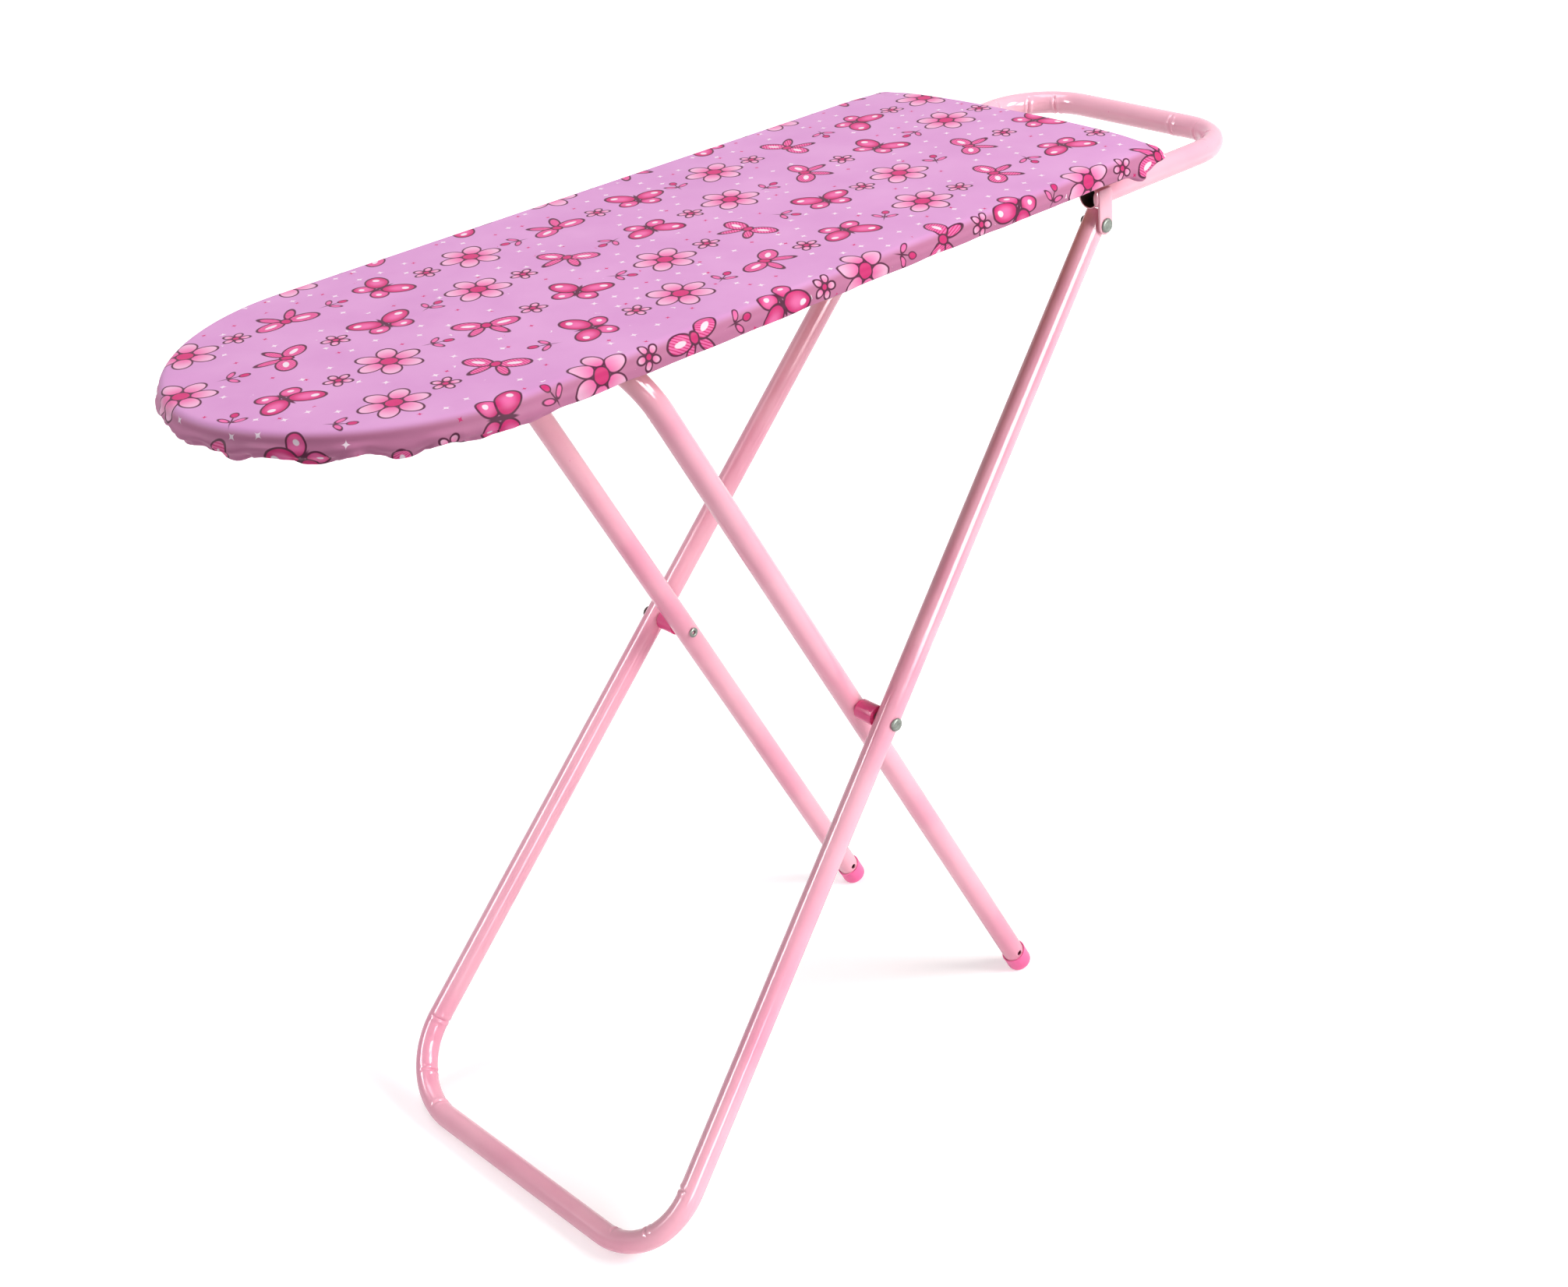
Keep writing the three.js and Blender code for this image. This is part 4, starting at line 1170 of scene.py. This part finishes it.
def inner_leg_at(distance, side, tubes, fittings):
    """The point on an inner leg's middle line at a distance below the scissor pivot."""
    down, _ = leg_plane(tubes.inner_angle, 1)
    end = cap_end_distance(tubes, fittings) - CAP_FLOOR
    slope = (tubes.inner_foot_half - tubes.inner_top_half) / (end + tubes.crossbar_distance)
    half = tubes.inner_top_half + slope * (distance + tubes.crossbar_distance)
    return np.array(SCISSOR) + down * distance + ALONG_Y * side * half


class TOYBOARD_OT_inner_legs(Operation):
    """Bends the inner frame and drills the holes above its caps"""

    bl_idname = "toyboard.inner_legs"
    bl_label = "Inner legs"

    def build(self, board, tubes, fittings, colours):
        floor = cap_end_distance(tubes, fittings)
        ends = ((floor - CAP_FLOOR, -1), (-tubes.crossbar_distance, -1))
        ends += ((-tubes.crossbar_distance, 1), (floor - CAP_FLOOR, 1))
        corners = [inner_leg_at(distance, side, tubes, fittings) for distance, side in ends]
        dents = ((0.0, 0.030, 0.054),) * 2
        tube = bent_tube("inner_frame", corners, tubes.inner_bend, dents, tubes, 33)
        hole = (tubes.foot_hole / 2, -FOOT_HOLE_REACH, FOOT_HOLE_REACH)
        distance = floor - fittings.cap_length - tubes.foot_hole_setback
        centres = [inner_leg_at(distance, side, tubes, fittings) for side in SIDES.values()]
        drill(tube, [drill_bit(centre, ALONG_Y, *hole, 28) for centre in centres])
        place(tube, "inner_legs", "tube_paint", "inner_leg_frame")


# ------------------------------
# The fittings


# Small radii, heights and clearances of the pressed and turned pieces
PLATE_CORNER, STAMPED_ROUND, PLATE_FACE = 0.0016, 0.00045, 0.0025
WELD_TALL, WELD_DEEP, WELD_SUNK, WELD_OVER = 0.0046, 0.0017, 0.0008, 0.0017
RIVET_HEAD, RIVET_DOME, RIVET_FLARE = 0.0014, 0.0013, 0.0011
CAP_BOTTOM, CLOSE_FIT, LOOSE_FIT = 0.0024, 0.0002, 0.0003
SCREW_POINT, SCREW_PITCH, THREAD_DEPTH, RECESS_DEPTH, SCREW_DOME = 0.002, 0.0013, 0.00022, 0.0009, 0.0008


def reach_of(node):
    """The least and greatest distance of a CAD node from the middle plane."""
    low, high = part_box(node)
    return sorted((abs(low[1]), abs(high[1])))


class TOYBOARD_OT_plates(Operation):
    """Stamps the two hinge plates and lays the painted weld beads that hold them to the rest"""

    bl_idname = "toyboard.plates"
    bl_label = "Hinge plates"

    def build(self, board, tubes, fittings, colours):
        inks = [bpy.data.materials["pink_enamel"]]
        for label, side in SIDES.items():
            node = f"hinge_plate_{label}"
            inner = side * reach_of(node)[0]
            rings = plate_rings(tubes, fittings, inner, side)
            place(make_piece(f"plate_{label}", rings, inks, sharp=PRESSED_EDGE), "board", "tube_paint", node)
            rings = weld_bead(tubes, fittings, inner, side)
            place(make_piece(f"weld_{label}", rings, inks, sharp=NO_EDGE), "board", "tube_paint")


def plate_rings(tubes, fittings, inner, side):
    """Rings of a plate: its outline (straight sides, round lower end, softly round top) drawn in near both
    faces for the stamped edge, and shrunk to its middle on each face."""
    half = fittings.plate_width / 2
    rise = tubes.rest_height - HINGE.z + fittings.plate_over
    angle, soft = np.linspace(math.pi, TURN, 25), np.linspace(0, QUARTER, 6)
    corner, stamped, thick = PLATE_CORNER, STAMPED_ROUND, fittings.plate_thickness

    def edge(inset):
        size = half - inset
        lower = size * np.stack([np.cos(angle), np.sin(angle)], axis=1)
        middle = (size - corner, rise - inset - corner)
        right = middle + corner * np.stack([np.cos(soft), np.sin(soft)], axis=1)
        return np.concatenate([lower, right, (right * (-1, 1))[::-1]])

    face = [(0.0, None), (0.0, PLATE_FACE), (0.0, stamped), (stamped * 0.3, stamped * 0.3), (stamped, 0.0)]
    rings = []
    for depth, inset in face + [(thick - depth, inset) for depth, inset in reversed(face)]:
        loop = np.full_like(edge(0.0), (0.0, rise / 2)) if inset is None else edge(inset)
        y = np.full(len(loop), inner + side * depth)
        rings.append(np.stack([HINGE.x + loop[:, 0], y, HINGE.z + loop[:, 1]], axis=1))
    return np.array(rings)


def weld_bead(tubes, fittings, inner, side):
    """A lumpy bead between plate and tube: an oval section carried along X past both edges of the plate, its
    size swelling and shrinking along the way and closing at both ends."""
    half = fittings.plate_width / 2 + WELD_OVER
    along = np.linspace(-half, half, 40)[:, None]
    angle = np.linspace(0, TURN, 28, endpoint=False)
    close = np.sqrt(np.clip(1 - (along / half) ** 8, 0, 1))
    size = close * (1 + 0.06 * np.sin(along * 3300) + 0.05 * np.sin(along * 5100 + 1))
    y = inner + side * (WELD_DEEP * size * np.cos(angle) - WELD_SUNK)
    z = tubes.rest_height + WELD_TALL * size * np.sin(angle)
    return np.stack(np.broadcast_arrays(HINGE.x + along, y, z), axis=2)


def rivet_profile(shank, head, tail, reach):
    """Half section of a tubular rivet along its axis, head outwards at height 0 and above, the flared and
    bored tail at -reach: a low dome with a pressed ring, and a rolled lip round a deep bore."""
    radius, foot = head / 2, tail / 2
    top = [(0, 0.82, 0), (0.45, 0.86, 0), (0.55, 0.98, 0.0002), (0.82, 0.90, 0.0004), (1, 0.30, 0.0004)]
    rows = [(radius * out, RIVET_DOME * up, soft) for out, up, soft in top]
    rows += [(radius, 0, 0.0001), (shank / 2, 0, 0)]
    lip = [(shank / 2, 0, 0), (foot, 0, 0.0002), (foot, -0.0006, 0.0004), (foot * 0.62, -0.0012, 0.0005)]
    lip += [(0.0011, -0.0007, 0.0003), (0.0009, 0.0025, 0), (0, 0.0029, 0)]
    return rounded(rows + [(out, up - reach, soft) for out, up, soft in lip])


class TOYBOARD_OT_rivets(Operation):
    """Sets the four tubular rivets"""

    bl_idname = "toyboard.rivets"
    bl_label = "Rivets"

    def build(self, board, tubes, fittings, colours):
        inks = [steel("rivet_zinc", colours.steel, 0.55, 0.34)]
        for label, side in SIDES.items():
            for kind, pivot, head, tail in (
                ("hinge", HINGE, fittings.hinge_head, fittings.hinge_tail),
                ("scissor", SCISSOR, fittings.scissor_head, fittings.scissor_tail),
            ):
                node = f"{kind}_rivet_{label}"
                inner, outer = reach_of(node)
                seat = outer - RIVET_HEAD
                profile = rivet_profile(fittings.rivet_shank, head, tail, seat - inner - RIVET_FLARE)
                rings = spun(profile, (pivot.x, side * seat, pivot.z), (0, side, 0), 40)
                rivet = make_piece(f"{kind}_pin_{label}", rings, inks, sharp=PRESSED_EDGE)
                place(rivet, "outer_legs", "rivet_steel", node)


class TOYBOARD_OT_spacers(Operation):
    """Slips the plastic sleeves between the crossed frames"""

    bl_idname = "toyboard.spacers"
    bl_label = "Spacer sleeves"

    def build(self, board, tubes, fittings, colours):
        inks = [plastic("magenta_sleeve", colours.sleeve_magenta, 0.2)]
        for label, side in SIDES.items():
            node = f"spacer_sleeve_{label}"
            start, end = reach_of(node)
            span, radius = end - start, fittings.spacer_diameter / 2
            bore = fittings.rivet_shank / 2 + LOOSE_FIT
            rows = [(bore, 0, 0), (radius, 0, 0.0004), (radius * 0.985, span / 2, 0)]
            section = rounded(rows + [(radius, span, 0.0004), (bore, span, 0), (bore, 0, 0)])
            rings = spun(section, (SCISSOR.x, side * start, SCISSOR.z), (0, side, 0), 56)
            sleeve = make_piece(f"sleeve_{label}", rings, inks, sharp=PRESSED_EDGE)
            place(sleeve, "outer_legs", "magenta_plastic", node)


class TOYBOARD_OT_caps(Operation):
    """Pushes the foot caps onto the inner legs"""

    bl_idname = "toyboard.caps"
    bl_label = "Foot caps"

    def build(self, board, tubes, fittings, colours):
        inks = [plastic("pink_cap", colours.cap_pink, 0.3)]
        _, square = leg_plane(tubes.inner_angle, 1)
        outer, bore, tall = fittings.cap_radius, tubes.diameter / 2 + CLOSE_FIT, fittings.cap_length
        rows = [(0, 0, 0), (outer, 0, fittings.cap_round), (outer * 0.985, -tall * 0.6, 0)]
        rows += [(outer * 1.01, -tall, 0.0004), (bore, -tall, 0.0002), (bore, -CAP_BOTTOM, 0)]
        rows += [(0, -CAP_BOTTOM, 0)]
        profile = rounded(rows, 7)
        end = cap_end_distance(tubes, fittings)
        for label, side in SIDES.items():
            pivot, tip = (inner_leg_at(distance, side, tubes, fittings) for distance in (0.0, end))
            points = spun(profile, tip, tip - pivot, 56, up=square)
            _, rise, along = axes_along(tip - pivot, square)
            offset = points - tip
            share = smooth_step(-(offset @ along), tall * 0.35, tall)
            points -= along * (share * (offset @ rise) / outer * fittings.cap_slant)[..., None]
            cap = make_piece(f"cap_{label}", points, inks, sharp=PRESSED_EDGE)
            place(cap, "inner_legs", "magenta_plastic", f"foot_cap_{label}")


class TOYBOARD_OT_screws(Operation):
    """Drives the six wood screws, each with a domed head and a cross recess"""

    bl_idname = "toyboard.screws"
    bl_label = "Screws"

    def build(self, board, tubes, fittings, colours):
        inks = [steel("screw_zinc", colours.spring, 0.9, 0.3)]
        for kind in ("rest", "batten", "clip"):
            for label in SIDES:
                node = f"{kind}_screw_{label}"
                low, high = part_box(node)
                foot = ((low[0] + high[0]) / 2, (low[1] + high[1]) / 2, low[2])
                rings = screw_rings(fittings, foot, high[2] - low[2])
                screw = make_piece(f"wood_{node}", rings, inks, sharp=PRESSED_EDGE)
                place(screw, "board", "rivet_steel", node)


def screw_rings(fittings, foot, span):
    """A screw standing head down on foot. Round the axis, the head is sunk where |sin 2a| is small, near the
    middle, which presses the cross recess; the shank's radius swells by a sine of height less angle, which
    cuts the thread."""
    head, shank = fittings.screw_head / 2, fittings.screw_shank / 2
    tall, sides = fittings.screw_head_height, 40
    rows = [(head * share, SCREW_DOME * share**2.5) for share in np.linspace(0, 1, 12)]
    rows += [(head, tall * 0.8), (head * 0.97, tall), (shank, tall)]
    rows += [(shank, height) for height in np.linspace(tall + 0.0002, span - SCREW_POINT, 60)]
    rows += [(shank * share, span - SCREW_POINT * share) for share in (0.8, 0.5, 0.2, 0.0)]
    points = spun(rows, foot, (0, 0, 1), sides, up=(1, 0, 0))
    out, up = np.hsplit(np.array(rows), 2)
    angle = np.arange(sides) * TURN / sides
    recess = np.maximum(bell(np.sin(2 * angle), 0.5), 1 - smooth_step(out, 0.0, head * 0.16))
    recess = recess * (1 - smooth_step(out, head * 0.35, head * 0.6))
    points[..., 2] += RECESS_DEPTH * recess * ((up < tall * 0.6) & (out < head * 0.7))
    threaded = (up > tall) & (up < span - 0.75 * SCREW_POINT)
    cut = THREAD_DEPTH * (np.sin(TURN * up / SCREW_PITCH - angle) - 1) * threaded
    scale = 1 + cut / np.maximum(out, 1e-6)
    centre = np.array(foot[:2])
    points[..., :2] = centre + (points[..., :2] - centre) * scale[..., None]
    return points


class TOYBOARD_OT_clips(Operation):
    """Bends the spring clips that hold the inner frame's crossbar"""

    bl_idname = "toyboard.clips"
    bl_label = "Spring clips"

    def build(self, board, tubes, fittings, colours):
        ink = steel("spring_strip", colours.spring, 0.9, 0.26)
        for label in SIDES:
            node = f"crossbar_clip_{label}"
            place(cad_copy(f"spring_clip_{label}", node, ink, 0.00018), "board", "spring_steel", node)


class TOYBOARD_OT_enamel(Operation):
    """Mixes the pink enamel and the bare steel inside the tubes, which is painted near-black as shade"""

    bl_idname = "toyboard.enamel"
    bl_label = "Tube finishes"

    def build(self, board, tubes, fittings, colours):
        enamel(colours)
        shaded_bare_steel()


# ------------------------------
# The stage

# Name, place, the point that it faces, width, height, watts and tint of each lamp
AREA_LAMPS = (
    ("key", (1.01, -1.78, 1.53), (0, 0, 0.28), 0.9, 0.9, 48.0, (1.0, 0.935, 0.915)),
    ("overhead", (-0.1, 0.3, 2.4), (0, 0, 0.45), 1.2, 1.2, 21.0, (1.0, 0.92, 0.98)),
    ("fill", (-1.5, 0.6, 1.3), (0, 0, 0.28), 1.3, 1.3, 7.0, (1.0, 0.86, 0.9)),
    ("low_front", (-0.62, -1.15, 0.3), (-0.12, -0.05, 0.04), 0.4, 0.3, 0.3, (1.0, 0.72, 0.78)),
)
LOW_SPREAD = math.radians(42)

# Name, the point that it faces, the direction to it, its distance, how far it slides down the legs,
# width, height and watts of each strip
STRIP_LAMPS = (
    ("front_strip", (0.1, -0.08, 0.35), (-0.225, -0.959, 0.246), 1.6, -0.45, 0.9, 0.62, 28.0),
    ("back_strip", (-0.1, 0.0, 0.14), (-0.655, 0.430, 0.635), 2.0, 0.2, 0.45, 0.9, 20.0),
)
WORLD_LEVEL = 0.13


class TOYBOARD_OT_stage(Operation):
    """Lays the pale floor, hangs the lamps and sets up the camera"""

    bl_idname = "toyboard.stage"
    bl_label = "Stage"

    def build(self, board, tubes, fittings, colours):
        make_floor()
        light_world()
        for name, position, target, wide, tall, power, tint in AREA_LAMPS:
            lamp = new_lamp(name, wide, tall, power, tint)
            aim = Vector(target) - Vector(position)
            turn = aim.to_track_quat("-Z", "Y").to_matrix().to_4x4()
            lamp.matrix_world = Matrix.Translation(position) @ turn
        bpy.data.lights["low_front"].spread = LOW_SPREAD
        down = Vector(leg_plane(tubes.outer_angle, -1)[0])
        for strip in STRIP_LAMPS:
            hang_strip(down, *strip)
        aim_camera()
        bpy.context.scene.view_settings.view_transform = "Standard"


def new_lamp(name, wide, tall, power, tint=(1.0, 1.0, 1.0)):
    lamp = bpy.data.lights.new(name, "AREA")
    lamp.shape = "RECTANGLE"
    lamp.size, lamp.size_y, lamp.energy, lamp.color = wide, tall, power, tint
    return add_object(name, lamp)


def hang_strip(down, name, target, towards, distance, slide, wide, tall, power):
    """A reflector that lies along the outer legs, so that gloss shows it as one thin line."""
    towards = (Vector(towards) - down * down.dot(Vector(towards))).normalized()
    lamp = new_lamp(name, wide, tall, power)
    lamp.visible_diffuse = False
    turn = Matrix((towards.cross(down), -down, towards)).transposed()
    place_at = Vector(target) + towards * distance + down * slide
    lamp.matrix_world = Matrix.Translation(place_at) @ turn.to_4x4()


def make_floor():
    """A wide plane just under the feet. It looks white to the camera and in reflections, more by its own
    glow the further out, and keeps the soft shadow."""
    reach = 6.0
    points = [(-reach, -reach, 0), (reach, -reach, 0), (reach, reach, 0), (-reach, reach, 0)]
    mesh = bpy.data.meshes.new("floor")
    mesh.from_pydata(points, [], [(0, 1, 2, 3)])
    nodes = finish_nodes("white_floor", Roughness=0.9, Emission_Color=(1.0, 1.0, 1.0, 1.0))
    place = nodes.place()
    tone = nodes.remap(nodes.noise(place, 3.0), 0.3, 0.7)
    x, y, _ = nodes.parts(place)
    glow = background_ray(nodes) * nodes.remap(distance_to(x, y), 0.5, 1.8, 0.48, 0.95)
    base = nodes.mix(tone, (0.80, 0.80, 0.80), (0.82, 0.82, 0.82))
    mesh.materials.append(nodes.send(Base_Color=base, Emission_Strength=glow))
    return add_object("floor", mesh)


def background_ray(nodes):
    """1 where the camera, a mirror-like reflection or clear glass looks at this surface."""
    kinds = ("Camera", "Glossy", "Transmission")
    camera, glossy, clear = (nodes.add("ShaderNodeLightPath", {}, f"Is {kind} Ray") for kind in kinds)
    return camera.most(glossy).most(clear)


def light_world():
    """An even pale dome: white to the camera, dimmer as a light."""
    world = bpy.data.worlds.new("pale_dome")
    bpy.context.scene.world = world
    dome = Nodes(world, "Background", Color=(1.0, 1.0, 1.0, 1.0))
    dome.send(Strength=dome.remap(background_ray(dome), 0.0, 1.0, WORLD_LEVEL, 1.0))


def aim_camera():
    """The photograph's view: direction and tilt in degrees, place in metres, and lens in millimetres."""
    azimuth, elevation, roll = (math.radians(degrees) for degrees in (-40.57, 28.27, -5.09))
    camera = bpy.data.cameras.new("photo_camera")
    camera.lens, camera.sensor_width = 53.63, 36.0
    camera.clip_start, camera.clip_end = 0.05, 50.0
    holder = add_object("photo_camera", camera)
    tilt = Matrix.Rotation(QUARTER - elevation, 4, "X") @ Matrix.Rotation(roll, 4, "Z")
    turn = Matrix.Rotation(azimuth, 4, "Z") @ tilt
    holder.matrix_world = Matrix.Translation((-0.74165, -0.8747, 0.8643)) @ turn
    bpy.context.scene.camera = holder


# ------------------------------
# The panel and the run

GROUPS = {
    "ironing_board": BoardSizes,
    "ironing_tubes": TubeSizes,
    "ironing_fittings": FittingSizes,
    "ironing_colours": BoardColours,
}
OPERATORS = (
    TOYBOARD_OT_stage,
    TOYBOARD_OT_enamel,
    TOYBOARD_OT_wood,
    TOYBOARD_OT_foam,
    TOYBOARD_OT_cover,
    TOYBOARD_OT_elastic,
    TOYBOARD_OT_rest,
    TOYBOARD_OT_plates,
    TOYBOARD_OT_outer_legs,
    TOYBOARD_OT_inner_legs,
    TOYBOARD_OT_rivets,
    TOYBOARD_OT_spacers,
    TOYBOARD_OT_caps,
    TOYBOARD_OT_screws,
    TOYBOARD_OT_clips,
)


class TOYBOARD_PT_panel(Panel):
    """Lists the pieces and their sizes"""

    bl_idname = "TOYBOARD_PT_panel"
    bl_label = "Ironing board"
    bl_space_type = "VIEW_3D"
    bl_region_type = "UI"
    bl_category = "Ironing board"

    def draw(self, context):
        for operator in OPERATORS:
            self.layout.operator(operator.bl_idname)
        for group in GROUPS:
            sizes = getattr(context.scene, group)
            for name in sizes.__annotations__:
                self.layout.prop(sizes, name)


def register():
    for name, group in GROUPS.items():
        bpy.utils.register_class(group)
        setattr(bpy.types.Scene, name, PointerProperty(type=group))
    for operator in (*OPERATORS, TOYBOARD_PT_panel):
        bpy.utils.register_class(operator)


def unregister():
    for operator in (TOYBOARD_PT_panel, *reversed(OPERATORS)):
        bpy.utils.unregister_class(operator)
    for name, group in GROUPS.items():
        delattr(bpy.types.Scene, name)
        bpy.utils.unregister_class(group)


def main():
    register()
    for operator in OPERATORS:
        call = getattr(bpy.ops.toyboard, operator.bl_idname.partition(".")[2])
        if call() != {"FINISHED"}:
            raise RuntimeError(f"{operator.bl_label} was not built")


if __name__ == "__main__":
    main()
